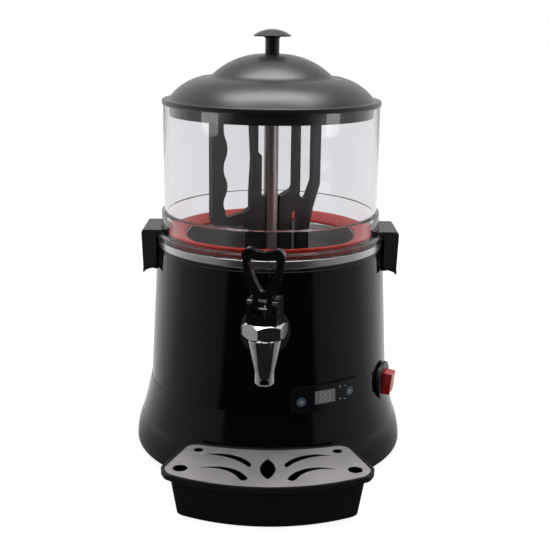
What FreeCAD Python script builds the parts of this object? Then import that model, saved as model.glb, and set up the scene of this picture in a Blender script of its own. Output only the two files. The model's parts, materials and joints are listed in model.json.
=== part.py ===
import FreeCAD, Part
import math
import os

# Hot drink dispenser: a clear jar with an agitator stands on a heated steel tank, in a round
# black housing with a tap, a control panel, a rocker switch and a drip tray.
# All sizes are millimetres. The origin is where the machine's upright axis meets the table,
# +Z is up and -Y is the front, so +X is on the right hand of someone who faces the machine.

os.makedirs("parts", exist_ok=True)
V = FreeCAD.Vector

# Fits
press_gap = 0.02
running_gap = 0.05
screw_gap = 0.1
seat_gap = 0.3

# Housing
rim_height = 7.5
skirt_rim_radius = 150.8
skirt_shoulder_radius = 143.6
skirt_shoulder_height = 42.0
skirt_wall = 3.0
skirt_floor_width = 19.0
skirt_floor_thickness = 5.0
seam_height = 83.0
seam_radius = 133.2
skirt_top_thickness = 3.0
body_top_height = 233.5
body_top_radius = 124.4
body_wall = 1.6
seam_flange_width = 11.0
tank_seat_width = 12.0
groove_depth = 0.7

# Base plate, feet and their screws
plate_thickness = 2.0
plate_gap = 1.7
foot_radius = 12.0
foot_circle = 118.0
foot_screw_radius = 2.1
foot_recess_radius = 5.0
foot_recess_depth = 4.0
base_screw_count = 6
base_screw_circle = 139.0
small_screw_radius = 1.9
small_head_radius = 3.4
small_head_height = 2.2
body_bolt_inset = 6.4
body_bolt_azimuths = (-30, -120, 150, 110)

# Tank, column and water jacket
tank_radius = 93.0
tank_floor_height = 158.0
tank_wall = 1.5
tank_corner = 4.0
ring_radius = 123.7
ring_edge = 1.2
ring_top_height = 241.0
column_radius = 7.8
column_wall = 1.2
column_top_height = 366.0
column_foot_height = 139.0
jacket_radius = 105.2
jacket_wall = 1.2
jacket_floor_height = 144.0
heater_circle = 70.0
heater_tube_radius = 4.0
heater_leg_radius = 5.2
heater_height = 151.0
heater_terminal_angle = 8.0
terminal_drop = 12.0
probe_radius = 3.0
probe_circle = 40.0
cutout_radius = 8.0
cutout_circle = 52.0
cutout_thickness = 7.0

# Jar and its seal
jar_radius = 116.0
jar_bore_radius = 112.4
jar_band_radius = 119.2
jar_band_height = 29.0
jar_flange_radius = 124.7
jar_flange_thickness = 5.5
jar_top_height = 384.0
seal_foot_width = 6.0
seal_edge = 2.6
seal_crest_height = 9.5
seal_crest_width = 3.0
seal_inner_height = 2.6

# Lid and knob
lid_radius = 117.0
lid_rim_thickness = 4.8
lid_wall = 3.0
lid_skirt_radius = 110.0
lid_skirt_depth = 12.0
lid_skirt_wall = 2.5
lid_groove_radius = 74.0
lid_groove_rise = 26.5
lid_top_rise = 52.0
lid_boss_radius = 14.0
knob_stem_radius = 7.6
knob_cap_radius = 19.9
knob_stem_height = 17.4
knob_cap_height = 7.6
knob_screw_radius = 2.0
knob_screw_grip = 11.0

# Agitator: two uprights on each side of the column, on a hub at the shaft's top end
agitator_angle = 33.0
agitator_thickness = 7.5
hub_radius = 12.0
hub_bottom_height = 367.5
hub_top_height = 404.0
arm_bottom_height = 370.0
arm_top_height = 382.0
left_bar_reach = 75.0
left_bar_width = 13.5
scallop_depth = 4.6
left_inner_reach = 27.0
left_inner_width = 8.3
right_bar_reach = 65.0
right_bar_width = 10.7
right_inner_reach = 36.7
right_inner_width = 8.3
web_height = 270.0
scraper_reach = 82.0
scraper_height = 9.0
scraper_floor_gap = 4.0
guide_gap = 1.4
guide_wall = 4.3

# Drive
shaft_radius = 4.0
bush_length = 8.0
output_radius = 5.0
coupling_radius = 9.0
coupling_length = 19.0
gear_module = 0.8
gear_teeth = 48
pinion_teeth = 12
gear_thickness = 8.0
gear_backlash = 0.16
pressure_angle = 20.0
motor_shaft_radius = 2.0
motor_radius = 21.0
motor_length = 58.0
gearbox_floor_height = 88.0
gearbox_height = 22.0
gearbox_wall = 3.0
gearbox_cover_thickness = 3.0
gearbox_half_width = 30.0
bracket_thickness = 3.0
bracket_half_width = 46.0
bracket_foot_width = 14.0
bracket_margin = 6.0

# Tap
tap_offset = -4.0
tap_reach = 188.0
tap_yaw = -14.0
spout_bottom_height = 138.0
spout_radius = 9.5
spout_straight = 12.0
spout_bore_radius = 6.5
spout_shoulder_radius = 16.7
spout_shoulder_height = 184.0
spout_window_radius = 4.3
spout_window_height = 143.2
seat_height = 156.0
flute_radius = 12.0
flute_depth = 3.0
chamber_radius = 10.5
thread_radius = 15.0
thread_height = 12.0
nut_flats = 37.8
nut_height = 16.0
nut_turn = 12.0
nut_lip = 2.5
nut_chamfer = 2.6
branch_height = 171.0
branch_radius = 10.5
socket_depth = 38.0
outlet_radius = 8.0
outlet_bore_radius = 6.4
outlet_inside = 1.5
washer_radius = 25.0
washer_thickness = 4.5
bonnet_flange = 1.4
bonnet_neck_radius = 11.8
bonnet_width = 29.0
bonnet_depth = 27.0
bonnet_floor = 5.5
bonnet_height = 23.5
cheek_thickness = 5.0
lever_pin_radius = 2.0
lever_pin_forward = 6.0
lever_pin_height = 213.0
lever_eye_radius = 5.2
lever_arm_gap = 4.0
lever_side_gap = 0.5
lever_thickness = 9.0
lever_neck_height = 228.0
lever_bridge_height = 226.0
lever_foot_half_width = 12.3
lever_half_width = 19.4
lever_shoulder_height = 261.0
lever_top_height = 271.4
lever_saddle_depth = 3.2
lever_bar = 7.0
lever_prong_reach = 13.0
stem_radius = 3.0
stem_head_radius = 7.5
stem_head_thickness = 2.5
stem_collar_radius = 6.0
stem_collar_thickness = 1.5
cup_radius = 9.5
cup_height = 11.0
spring_radius = 6.2
spring_wire = 1.0
spring_turns = 7
spring_seat_depth = 4.0

# Jar clips, one on each side
clip_half_length = 29.5
clip_outer_face = 139.0
clip_wall = 3.6
clip_plate_thickness = 4.0
clip_bottom_height = 205.5
clip_lip_drop = 2.0
clip_cheek_inset = 123.4
clip_pin_x = 130.0
clip_pin_height = 214.2
clip_pin_radius = 2.0
clip_ear_radius = 5.0
clip_ear_thickness = 5.4
clip_side_gap = 0.6
clip_bracket_height = 18.0
clip_bracket_depth = 5.5

# Control panel, on the right of the front
panel_start = 9.6
panel_end = 43.8
panel_height = 27.1
panel_lift = 0.4
panel_thickness = 3.0
display_start = 20.6
display_end = 30.6
display_bottom = 91.0
display_height = 14.0
display_thickness = 1.2
button_radius = 5.0
button_flange = 1.1
left_button_azimuth = 14.3
left_button_height = 95.1
right_button_azimuth = 38.6
right_button_height = 98.1
light_radius = 1.2
light_azimuth = 33.3
light_heights = (92.4, 105.6)
board_distance = 121.0
board_half_length = 31.0
board_height = 20.0
board_thickness = 1.6
post_radius = 2.0
post_spacing = 18.6

# Rocker switch, on the right side
switch_azimuth = 69.5
switch_height = 87.0
switch_bezel_radius = 21.8
switch_bezel_thickness = 3.0
switch_face_distance = 136.5
switch_barrel_radius = 18.7
switch_barrel_wall = 1.9
switch_barrel_depth = 21.5
switch_collar = 5.5
rocker_height = 24.0
rocker_width = 16.4
rocker_stand = 9.0
rocker_depth = 9.5
rocker_tilt = 6.0
rocker_gap = 0.7
trunnion_radius = 1.4

# Cord inlet at the back
gland_height = 45.0
gland_pad_radius = 13.0
gland_pad_distance = 146.0
gland_pad_thickness = 10.0
gland_thread_radius = 7.9
gland_bore_radius = 3.6
gland_hex_flats = 19.0
gland_hex_thickness = 5.0
gland_dome_length = 13.0
gland_thread_length = 16.0

# Drip tray and its plate
tray_front = 226.0
tray_back = 146.0
tray_side = 101.5
tray_side_setback = 38.0
tray_shoulder = 80.0
tray_shoulder_reach = 131.5
tray_corner_setback = 25.0
tray_front_corner = 95.0
tray_corner_radius = 11.0
tray_rim_margin = 3.6
tray_rim_height = 44.0
tray_ledge_thickness = 3.6
tray_lip_height = 2.0
grille_thickness = 1.2
grille_gap = 0.4
tray_bottom_height = 1.6
tray_wall = 2.5
tray_floor_inset = 11.0
tray_wall_inset = 4.5
tray_skirt_gap = 0.8
small_hole_radius = 5.0
small_hole_spot = (70.5, 146.2)
large_hole_radius = 7.2
large_hole_spot = (85.3, 187.4)
tongue_spacing = 55.0
tongue_width = 9.0
tongue_thickness = 3.0
tongue_height = 3.0
tongue_end = 92.0
guide_rail_start = 112.0
guide_rail_wall = 1.7


def section(path, place):
    """Closed face from a path. A pair of numbers ends a line, a pair of pairs is an arc's middle and end."""
    last = place(*path[0])
    edges = []
    for step in path[1:] + [path[0]]:
        if isinstance(step[0], tuple):
            middle = place(*step[0])
            end = place(*step[1])
            edges.append(Part.Arc(last, middle, end).toShape())
        else:
            end = place(*step)
            if end.distanceToPoint(last) < 1e-6:
                continue
            edges.append(Part.makeLine(last, end))
        last = end
    return Part.Face(Part.Wire(edges))


def turned(path, start=0.0, sweep=360.0):
    """Body of revolution about the upright axis, from a path of radius and height."""
    face = section(path, lambda r, z: V(0, -r, z))
    face.rotate(V(0, 0, 0), V(0, 0, 1), start)
    return face.revolve(V(0, 0, 0), V(0, 0, 1), sweep)


def disc(radius, bottom, top, x=0.0, y=0.0):
    return Part.makeCylinder(radius, top - bottom, V(x, y, bottom))


def ring(radius, bore, bottom, top, x=0.0, y=0.0):
    return disc(radius, bottom, top, x, y).cut(disc(bore, bottom, top, x, y))


def block(x0, x1, y0, y1, z0, z1):
    return Part.makeBox(x1 - x0, y1 - y0, z1 - z0, V(x0, y0, z0))


def rod(radius, start, end):
    """Cylinder between two points."""
    run = end - start
    return Part.makeCylinder(radius, run.Length, start, run)


def hexagon(flats, bottom, top, x=0.0, y=0.0, turn=0.0):
    """Upright hexagonal prism, with one flat facing the front before it is turned."""
    reach = flats / math.sqrt(3)
    corners = []
    for k in range(7):
        angle = math.radians(60 * k + turn)
        corners.append(V(x + reach * math.cos(angle), y + reach * math.sin(angle), bottom))
    return Part.Face(Part.makePolygon(corners)).extrude(V(0, 0, top - bottom))


def prism(path, depth_start, depth_end, place):
    """Path extruded along the third direction of place(a, b, depth)."""
    face = section(path, lambda a, b: place(a, b, depth_start))
    return face.extrude(place(0, 0, depth_end) - place(0, 0, depth_start))


def at_azimuth(shape, azimuth):
    """Turn what was built on the front to its azimuth, which counts from the front towards +X."""
    moved = shape.copy()
    moved.rotate(V(0, 0, 0), V(0, 0, 1), azimuth)
    return moved


def polar(radius, azimuth, z):
    angle = math.radians(azimuth)
    return V(radius * math.sin(angle), -radius * math.cos(angle), z)


def joined(first, *others):
    return first.fuse(list(others)).removeSplitter()


def mirrored(shape):
    return shape.mirror(V(0, 0, 0), V(1, 0, 0))


def save(node, shape):
    solids = shape.Solids
    valid = all(solid.isValid() for solid in solids)
    volume = sum(solid.Volume for solid in solids)
    print(f"{node}: {len(solids)} solid(s), {volume / 1000:.2f} cm3, valid {valid}")
    kept = solids[0] if len(solids) == 1 else Part.makeCompound(solids)
    kept.exportStep(f"parts/{node}.step")


def body_radius(z):
    """Outer radius of the housing's conical wall at a height."""
    share = (z - seam_height) / (body_top_height - seam_height)
    return seam_radius + (body_top_radius - seam_radius) * share


def body_cone(extra, bottom, top):
    """Solid cone of the housing's outer wall, larger by extra all round."""
    return Part.makeCone(body_radius(bottom) + extra, body_radius(top) + extra, top - bottom, V(0, 0, bottom))


def skirt_outline(offset):
    """Outer line of the skirt from the rim up to the seam, moved outwards by offset."""
    middle_radius = (skirt_shoulder_radius + seam_radius) / 2 - 0.1
    middle_height = (skirt_shoulder_height + seam_height) / 2
    bulge_radius = skirt_shoulder_radius + 0.74 * (skirt_rim_radius - skirt_shoulder_radius)
    bulge_height = rim_height + 0.52 * (skirt_shoulder_height - rim_height)
    return [
        (skirt_rim_radius + offset, rim_height + 4.5),
        ((bulge_radius + offset, bulge_height), (skirt_shoulder_radius + offset, skirt_shoulder_height)),
        ((middle_radius + offset, middle_height), (seam_radius + 0.4 + offset, seam_height)),
    ]


plate_bottom = rim_height + skirt_floor_thickness
plate_top = plate_bottom + plate_thickness
ring_bottom_face = ring_top_height - tank_wall
jar_foot = ring_top_height
jar_flange_top = jar_foot + jar_flange_thickness
switch_flange_back = switch_face_distance - switch_bezel_thickness
tap_y = -tap_reach

# Holes that several pieces share
switch_hole = at_azimuth(
    rod(switch_barrel_radius + seat_gap, V(0, -100, switch_height), V(0, -160, switch_height)), switch_azimuth
)
switch_pocket = at_azimuth(
    rod(
        switch_bezel_radius + seat_gap,
        V(0, -switch_flange_back + 0.1, switch_height),
        V(0, -170, switch_height),
    ),
    switch_azimuth,
)
outlet_hole = rod(
    outlet_radius + press_gap, V(tap_offset, -60, branch_height), V(tap_offset, -150, branch_height)
)
outlet_passage = rod(
    outlet_radius + 2 * seat_gap, V(tap_offset, -110, branch_height), V(tap_offset, -150, branch_height)
)


def body_bolt_spots():
    return [polar(seam_radius - body_bolt_inset, azimuth, 0) for azimuth in body_bolt_azimuths]


def base_screw_spots():
    return [polar(base_screw_circle, 30 + 60 * k, 0) for k in range(base_screw_count)]


def foot_spots():
    return [polar(foot_circle, 45 + 90 * k, 0) for k in range(4)]


def clip_screw_spots():
    """Heights and sideways places of the two screws that hold each clip bracket."""
    z = clip_pin_height + 6.2
    return [(-10.0, z), (10.0, z)]


# Base skirt: a flared moulding with a floor rim below and a bolted ring at the seam
def base_skirt():
    outer = skirt_outline(0.0)
    inner = skirt_outline(-skirt_wall)
    floor_inner = skirt_rim_radius - skirt_floor_width
    ring_bottom = seam_height - skirt_top_thickness
    path = [
        (floor_inner, rim_height),
        (skirt_rim_radius - 1.5, rim_height),
        ((skirt_rim_radius - 0.4, rim_height + 0.5), (skirt_rim_radius, rim_height + 1.8)),
    ]
    path += outer
    path += [(seam_radius - seam_flange_width, seam_height), (seam_radius - seam_flange_width, ring_bottom)]
    wall_top = (inner[2][1][0] + 0.8, ring_bottom)
    path += [wall_top, (inner[2][0], inner[1][1]), (inner[1][0], (inner[0][0], plate_bottom))]
    path += [(floor_inner, plate_bottom)]
    skirt = turned(path)
    pad = rod(
        gland_pad_radius,
        V(0, gland_pad_distance - gland_pad_thickness, gland_height),
        V(0, gland_pad_distance, gland_height),
    )
    skirt = joined(skirt, pad)
    tools = [switch_hole, switch_pocket]
    tools.append(rod(gland_thread_radius + screw_gap, V(0, 120, gland_height), V(0, 160, gland_height)))
    for spot in body_bolt_spots():
        tools.append(disc(small_screw_radius + screw_gap, ring_bottom - 1, seam_height + 1, spot.x, spot.y))
    for spot in base_screw_spots():
        tools.append(disc(small_screw_radius + screw_gap, rim_height - 1, plate_bottom + 1, spot.x, spot.y))
    return skirt.cut(tools)


# Housing wall: a steel cone with a rolled top edge, a flange at the seam and a seat for the tank
def body_shell():
    top = body_top_height
    path = [
        (seam_radius, seam_height),
        (body_radius(top - 4.4), top - 4.4),
        (body_radius(top - 3.9) - groove_depth, top - 3.6),
        (body_radius(top - 3.2) - groove_depth, top - 2.9),
        (body_radius(top - 2.4), top - 2.2),
        ((body_radius(top) - 0.1, top - 0.6), (body_radius(top) - 0.9, top)),
        (body_top_radius - tank_seat_width, top),
        (body_top_radius - tank_seat_width, top - body_wall),
        (body_top_radius - 1.5 * body_wall, top - body_wall),
        (seam_radius - body_wall, seam_height + body_wall),
        (seam_radius - seam_flange_width, seam_height + body_wall),
        (seam_radius - seam_flange_width, seam_height),
    ]
    shell = turned(path)
    tools = [switch_hole, switch_pocket, outlet_passage, panel_window()]
    for spot in body_bolt_spots():
        tools.append(disc(small_screw_radius + screw_gap, seam_height - 1, seam_height + 3, spot.x, spot.y))
    for side in (-1, 1):
        for y, z in clip_screw_spots():
            tools.append(rod(small_screw_radius + screw_gap, V(side * 100, y, z), V(side * 140, y, z)))
    return shell.cut(tools)


def panel_window():
    """Opening in the housing behind the control panel, where the board's posts and the buttons pass."""
    margin_angle = 1.9
    bottom = seam_height + 5.0
    top = seam_height + panel_height - 2.6
    path = [(120, bottom), (140, bottom), (140, top), (120, top)]
    return turned(path, panel_start + margin_angle, panel_end - panel_start - 2 * margin_angle)


# Base plate: a steel disc with vent slots and screw holes
def base_plate():
    radius = skirt_rim_radius - skirt_wall - plate_gap
    plate = disc(radius, plate_bottom, plate_top)
    tools = []
    for spot in foot_spots():
        tools.append(disc(foot_screw_radius + screw_gap, 0, 30, spot.x, spot.y))
    for spot in base_screw_spots():
        tools.append(disc(small_screw_radius + screw_gap, 0, 30, spot.x, spot.y))
    for x, y in bracket_screw_spots():
        tools.append(disc(small_screw_radius + screw_gap, 0, 30, x, y))
    for x, y in rail_screw_spots():
        tools.append(disc(small_screw_radius + screw_gap, 0, 30, x, y))
    for k in range(7):
        y = 78.0 + 6.0 * (k - 3)
        tools.append(block(-24, 24, y - 1.5, y + 1.5, 0, 30))
    return plate.cut(tools)


def feet():
    group = []
    for spot in foot_spots():
        pad = Part.makeCone(foot_radius - 1.5, foot_radius, plate_bottom, V(spot.x, spot.y, 0))
        recess = disc(foot_recess_radius, 0, foot_recess_depth, spot.x, spot.y)
        hole = disc(foot_screw_radius + screw_gap, 0, plate_bottom, spot.x, spot.y)
        group.append(pad.cut([recess, hole]))
    return Part.makeCompound(group)


def screw_up(x, y, seat, end, radius, head_radius, head_height, nut_seat=None):
    """Screw whose head is below seat and whose shank runs up to end, with a nut on nut_seat if given."""
    parts = [disc(head_radius, seat - head_height, seat, x, y), disc(radius, seat, end, x, y)]
    if nut_seat is not None:
        parts.append(hexagon(head_radius * 1.85, nut_seat, nut_seat + 0.9 * head_radius, x, y))
    return joined(*parts)


def foot_screws():
    group = []
    for spot in foot_spots():
        group.append(
            screw_up(
                spot.x, spot.y, foot_recess_depth, plate_top + 5.0, foot_screw_radius,
                foot_recess_radius - 0.6, small_head_height, plate_top,
            )
        )
    return Part.makeCompound(group)


def base_screws():
    group = []
    for spot in base_screw_spots():
        group.append(
            screw_up(
                spot.x, spot.y, rim_height, plate_top + 4.0, small_screw_radius,
                small_head_radius, small_head_height, plate_top,
            )
        )
    return Part.makeCompound(group)


def body_bolts():
    group = []
    for spot in body_bolt_spots():
        group.append(
            screw_up(
                spot.x, spot.y, seam_height - skirt_top_thickness, seam_height + body_wall + 4.5,
                small_screw_radius, small_head_radius, small_head_height, seam_height + body_wall,
            )
        )
    return Part.makeCompound(group)


# Tank: a drawn steel pot whose wide flange ends in the bright ring under the jar
def tank_pot():
    r = tank_radius
    w = tank_wall
    floor = tank_floor_height
    c = tank_corner
    k = 1 - math.sqrt(0.5)
    top = ring_top_height
    e = ring_edge
    path = [
        (column_radius + press_gap, floor - w),
        (r + w - c, floor - w),
        ((r + w - c * k, floor - w + c * k), (r + w, floor - w + c)),
        (r + w, top - w),
        (ring_radius - w, top - w),
        (ring_radius - w, body_top_height),
        (ring_radius, body_top_height),
        (ring_radius, top - e),
        ((ring_radius - e * k, top - e * k), (ring_radius - e, top)),
        (r + 1.0, top),
        ((r + 0.3, top - 0.3), (r, top - 1.0)),
        (r, floor + c - w),
        ((r - (c - w) * k, floor + (c - w) * k), (r - c + w, floor)),
        (column_radius + press_gap, floor),
    ]
    return turned(path).cut(outlet_hole)


def column_tube():
    return ring(column_radius, column_radius - column_wall, column_foot_height, column_top_height)


def column_bushes():
    outer = column_radius - column_wall - press_gap
    bore = shaft_radius + running_gap
    group = []
    for bottom in (column_foot_height, column_top_height - bush_length):
        group.append(ring(outer, bore, bottom, bottom + bush_length))
    return Part.makeCompound(group)


# Water jacket: a second pot around the tank, welded under its flange
def water_jacket():
    r = jacket_radius
    w = jacket_wall
    bottom = jacket_floor_height
    path = [
        (column_radius + press_gap, bottom),
        (r, bottom),
        (r, ring_bottom_face),
        (r - w, ring_bottom_face),
        (r - w, bottom + w),
        (column_radius + press_gap, bottom + w),
    ]
    tools = [outlet_hole]
    for spot in heater_terminal_spots():
        tools.append(disc(heater_leg_radius + press_gap, bottom - 1, bottom + w + 1, spot.x, spot.y))
    spot = probe_spot()
    tools.append(disc(probe_radius + press_gap, bottom - 1, bottom + w + 1, spot.x, spot.y))
    return turned(path).cut(tools)


def heater_terminal_spots():
    return [polar(heater_circle, 180 + side * heater_terminal_angle, 0) for side in (-1, 1)]


def probe_spot():
    return polar(probe_circle, 135, 0)


# Heater: a ring of heating tube in the jacket water, with two ends down through the jacket floor
def heater_element():
    tube = heater_tube_radius
    sweep = 360 - 2 * heater_terminal_angle
    middle = V(0, 0, heater_height)
    open_ring = Part.makeTorus(heater_circle, tube, middle, V(0, 0, 1), 0, 360, sweep)
    open_ring.rotate(V(0, 0, 0), V(0, 0, 1), 90 + heater_terminal_angle)
    bottom = jacket_floor_height - terminal_drop
    top = heater_height + heater_leg_radius
    legs = [disc(heater_leg_radius, bottom, top, spot.x, spot.y) for spot in heater_terminal_spots()]
    return joined(open_ring, *legs)


def temperature_probe():
    spot = probe_spot()
    stick = disc(probe_radius, jacket_floor_height - terminal_drop, heater_height + 3.0, spot.x, spot.y)
    collar = hexagon(3.4 * probe_radius, jacket_floor_height - 4.0, jacket_floor_height, spot.x, spot.y)
    return joined(stick, collar)


def overheat_cutout():
    spot = polar(cutout_circle, 90, 0)
    top = jacket_floor_height
    case = disc(cutout_radius, top - cutout_thickness, top, spot.x, spot.y)
    blades = []
    blade_top = top - cutout_thickness
    for side in (-1, 1):
        y = spot.y + side * 4.5
        blades.append(block(spot.x - 3, spot.x + 3, y - 0.4, y + 0.4, blade_top - 7, blade_top))
    return joined(case, *blades)


# Jar: a clear tube with a thicker band and a foot flange, open at both ends
def jar():
    band_top = jar_foot + jar_band_height
    path = [
        (jar_bore_radius, jar_foot),
        (jar_flange_radius - 0.8, jar_foot),
        ((jar_flange_radius - 0.2, jar_foot + 0.2), (jar_flange_radius, jar_foot + 0.8)),
        (jar_flange_radius, jar_flange_top - 1.2),
        ((jar_flange_radius - 0.35, jar_flange_top - 0.35), (jar_flange_radius - 1.2, jar_flange_top)),
        (jar_band_radius + 1.5, jar_flange_top),
        ((jar_band_radius + 0.4, jar_flange_top + 0.4), (jar_band_radius, jar_flange_top + 1.5)),
        (jar_band_radius, band_top - 1.6),
        ((jar_band_radius - 0.5, band_top - 0.5), (jar_band_radius - 1.6, band_top)),
        (jar_radius + 0.8, band_top),
        ((jar_radius + 0.2, band_top + 0.2), (jar_radius, band_top + 0.8)),
        (jar_radius, jar_top_height - 0.8),
        ((jar_radius - 0.25, jar_top_height - 0.25), (jar_radius - 0.8, jar_top_height)),
        (jar_bore_radius, jar_top_height),
    ]
    return turned(path)


# Seal: a red silicone lip that lies on the tank's flange and slopes up to the jar's inner wall
def jar_gasket():
    bottom = jar_foot
    inner = tank_radius + 0.6
    crest = jar_bore_radius - seat_gap
    top = bottom + seal_crest_height
    path = [
        (inner, bottom),
        (inner + seal_foot_width, bottom),
        (crest, top - seal_edge),
        (crest, top - 1.0),
        ((crest - 0.3, top - 0.3), (crest - 1.0, top)),
        (crest - seal_crest_width, top),
        (inner, bottom + seal_inner_height),
    ]
    return turned(path)


# Lid: two stepped domes over a flat rim, with a skirt that drops into the jar
def lid_cover():
    base = jar_top_height
    rim_top = base + lid_rim_thickness
    groove = base + lid_groove_rise
    top = base + lid_top_rise
    w = lid_wall
    g = lid_groove_radius
    shoulder = lid_radius - 7.4
    inner_boss = top - w
    skirt_bore = lid_skirt_radius - lid_skirt_wall
    path = [
        (lid_skirt_radius, base),
        (lid_radius, base),
        (lid_radius, rim_top - 1.8),
        ((lid_radius - 0.5, rim_top - 0.5), (lid_radius - 1.7, rim_top)),
        (shoulder, rim_top + 0.6),
        ((shoulder - 11.4, rim_top + 12.1), (g + 2.0, groove + 0.9)),
        ((g, groove), (g - 2.4, groove + 0.1)),
        (g - 8.4, groove + 1.4),
        ((g - 24.6, groove + 14.0), (lid_boss_radius, top - 0.4)),
        (knob_stem_radius, top),
        (knob_screw_radius + screw_gap, top),
        (knob_screw_radius + screw_gap, inner_boss),
        (knob_stem_radius, inner_boss),
        (lid_boss_radius, inner_boss - 0.6),
        ((g - 26.0, groove + 11.2), (g - 9.6, groove - 1.6)),
        (g + 1.0, groove - 2.4),
        ((shoulder - 13.6, rim_top + 9.8), (skirt_bore, rim_top - 1.6)),
        (skirt_bore, base - lid_skirt_depth),
        (lid_skirt_radius, base - lid_skirt_depth),
    ]
    return turned(path)


def lid_knob():
    base = jar_top_height + lid_top_rise
    neck = base + knob_stem_height
    top = neck + knob_cap_height
    edge = knob_cap_radius - 0.9
    rise = knob_cap_height - 1.8
    crown = (edge * edge + rise * rise) / (2 * rise)
    turn = math.asin(edge / crown) / 2
    path = [
        (knob_screw_radius + screw_gap, base),
        (knob_stem_radius, base),
        (knob_stem_radius, neck - 3.0),
        ((knob_stem_radius + 0.9, neck - 0.9), (knob_stem_radius + 3.0, neck)),
        (edge, neck),
        ((knob_cap_radius, neck + 0.9), (edge, neck + 1.8)),
        ((crown * math.sin(turn), top - crown * (1 - math.cos(turn))), (0.0, top)),
        (0.0, base + knob_screw_grip + 1.0),
        (knob_screw_radius + screw_gap, base + knob_screw_grip + 1.0),
    ]
    return turned(path)


def knob_screw():
    seat = jar_top_height + lid_top_rise - lid_wall
    end = jar_top_height + lid_top_rise + knob_screw_grip
    return joined(
        disc(knob_screw_radius * 2.2, seat - 2.6, seat),
        disc(knob_screw_radius, seat, end),
    )


# Agitator: a flat moulding that hangs from the hub, with a half tube that follows the column
def agitator():
    half = agitator_thickness / 2
    place = lambda u, z, v: V(u, v, z)
    top = arm_top_height
    outer = -left_bar_reach
    narrow = outer + left_bar_width
    bump = narrow + scallop_depth
    waist = (narrow + bump) / 2
    inner = -left_inner_reach
    inner_face = inner + left_inner_width
    web = web_height
    foot = tank_floor_height + scraper_floor_gap
    edge = column_radius + guide_gap
    left = [
        (outer, top),
        (outer, web - 2.0),
        ((outer + 2.0, web - 8.4), (outer + 7.0, web - 11.0)),
        (outer + 31.0, web - 13.0),
        ((inner - 7.0, web - 15.5), (inner - 4.0, web - 23.0)),
        (inner - 4.0, foot),
        (-edge, foot),
        (-edge, web + 14.5),
        (inner + 12.9, web + 16.0),
        (inner + 12.9, web + 58.0),
        (inner_face, web + 62.0),
        (inner_face, top),
    ]
    opening = [
        (waist, arm_bottom_height),
        ((narrow, web + 88.0), (waist, web + 78.0)),
        ((bump, web + 68.0), (waist, web + 58.0)),
        ((narrow, web + 48.5), (waist, web + 38.5)),
        ((bump, web + 29.0), (waist, web + 20.0)),
        ((narrow, web + 13.0), (waist, web + 4.0)),
        ((bump - 1.5, web - 1.0), (bump + 3.0, web - 2.7)),
        (inner - 7.0, web + 0.5),
        (inner, web + 5.0),
        (inner, web + 20.0),
        (inner + 2.0, web + 55.0),
        (inner, web + 90.0),
        (inner, arm_bottom_height),
    ]
    right_outer = right_bar_reach
    right_inner = right_inner_reach
    right = [
        (edge, web + 13.0),
        (right_inner - 13.7, web + 18.4),
        ((right_inner - 9.2, web + 21.5), (right_inner - right_inner_width, web + 27.0)),
        (right_inner - right_inner_width, top),
        (right_inner, top),
        (right_inner, web + 17.0),
        ((right_inner + 4.2, web + 8.6), (right_outer - 17.6, web + 12.0)),
        (right_outer - right_bar_width, web + 27.0),
        (right_outer - right_bar_width, top),
        (right_outer, top),
        (right_outer - 1.0, web + 22.0),
        (right_outer - 10.3, web - 2.6),
        (right_outer - 15.3, web - 25.0),
        (right_outer - 15.3, foot),
        (right_inner - 2.1, foot),
        (right_inner - 2.1, web - 10.0),
        ((right_inner - 6.3, web - 3.6), (right_inner - 10.3, web - 10.0)),
        (right_inner - 10.3, foot),
        (edge, foot),
    ]
    left_frame = prism(left, -half, half, place).cut(prism(opening, -half - 1, half + 1, place))
    right_frame = prism(right, -half, half, place)
    arm = block(outer, right_outer, -half, half, arm_bottom_height, top)
    scraper = block(-scraper_reach, scraper_reach, -half, half, foot, foot + scraper_height)
    guide = disc(edge + guide_wall, foot, web + 14.0)
    front_half = block(-50, 50, -50, -half, 0, 400)
    guide = guide.cut(front_half)
    hub = disc(hub_radius, hub_bottom_height, hub_top_height)
    moulding = joined(left_frame, right_frame, arm, scraper, guide, hub)
    clear_column = disc(edge, 0, arm_bottom_height - 1.0)
    clear_front = block(-edge, edge, -half - 1, 0, 0, arm_bottom_height - 1.0)
    bore = disc(shaft_radius + press_gap, 0, hub_top_height - 6.0)
    shaped = moulding.cut([clear_column, clear_front, bore])
    return at_azimuth(shaped, agitator_angle)


shaft_top = hub_top_height - 6.3
gear_distance = gear_module * (gear_teeth + pinion_teeth) / 2
gearbox_top = gearbox_floor_height + gearbox_height
cover_top = gearbox_top + gearbox_cover_thickness
bracket_top = cover_top + bracket_thickness
output_top = bracket_top + 7.0
coupling_bottom = bracket_top + 1.5
gear_bottom = gearbox_floor_height + gearbox_wall + 3.0


def drive_shaft():
    return disc(shaft_radius, output_top + 1.0, shaft_top)


def shaft_coupling():
    sleeve = disc(coupling_radius, coupling_bottom, coupling_bottom + coupling_length)
    lower = disc(output_radius + press_gap, coupling_bottom, output_top + 0.5)
    upper = disc(shaft_radius + press_gap, output_top + 0.5, coupling_bottom + coupling_length)
    return sleeve.cut([lower, upper])


def output_shaft():
    return disc(output_radius, gearbox_floor_height + gearbox_wall + 0.5, output_top)


def involute(angle):
    return math.tan(angle) - angle


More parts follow.
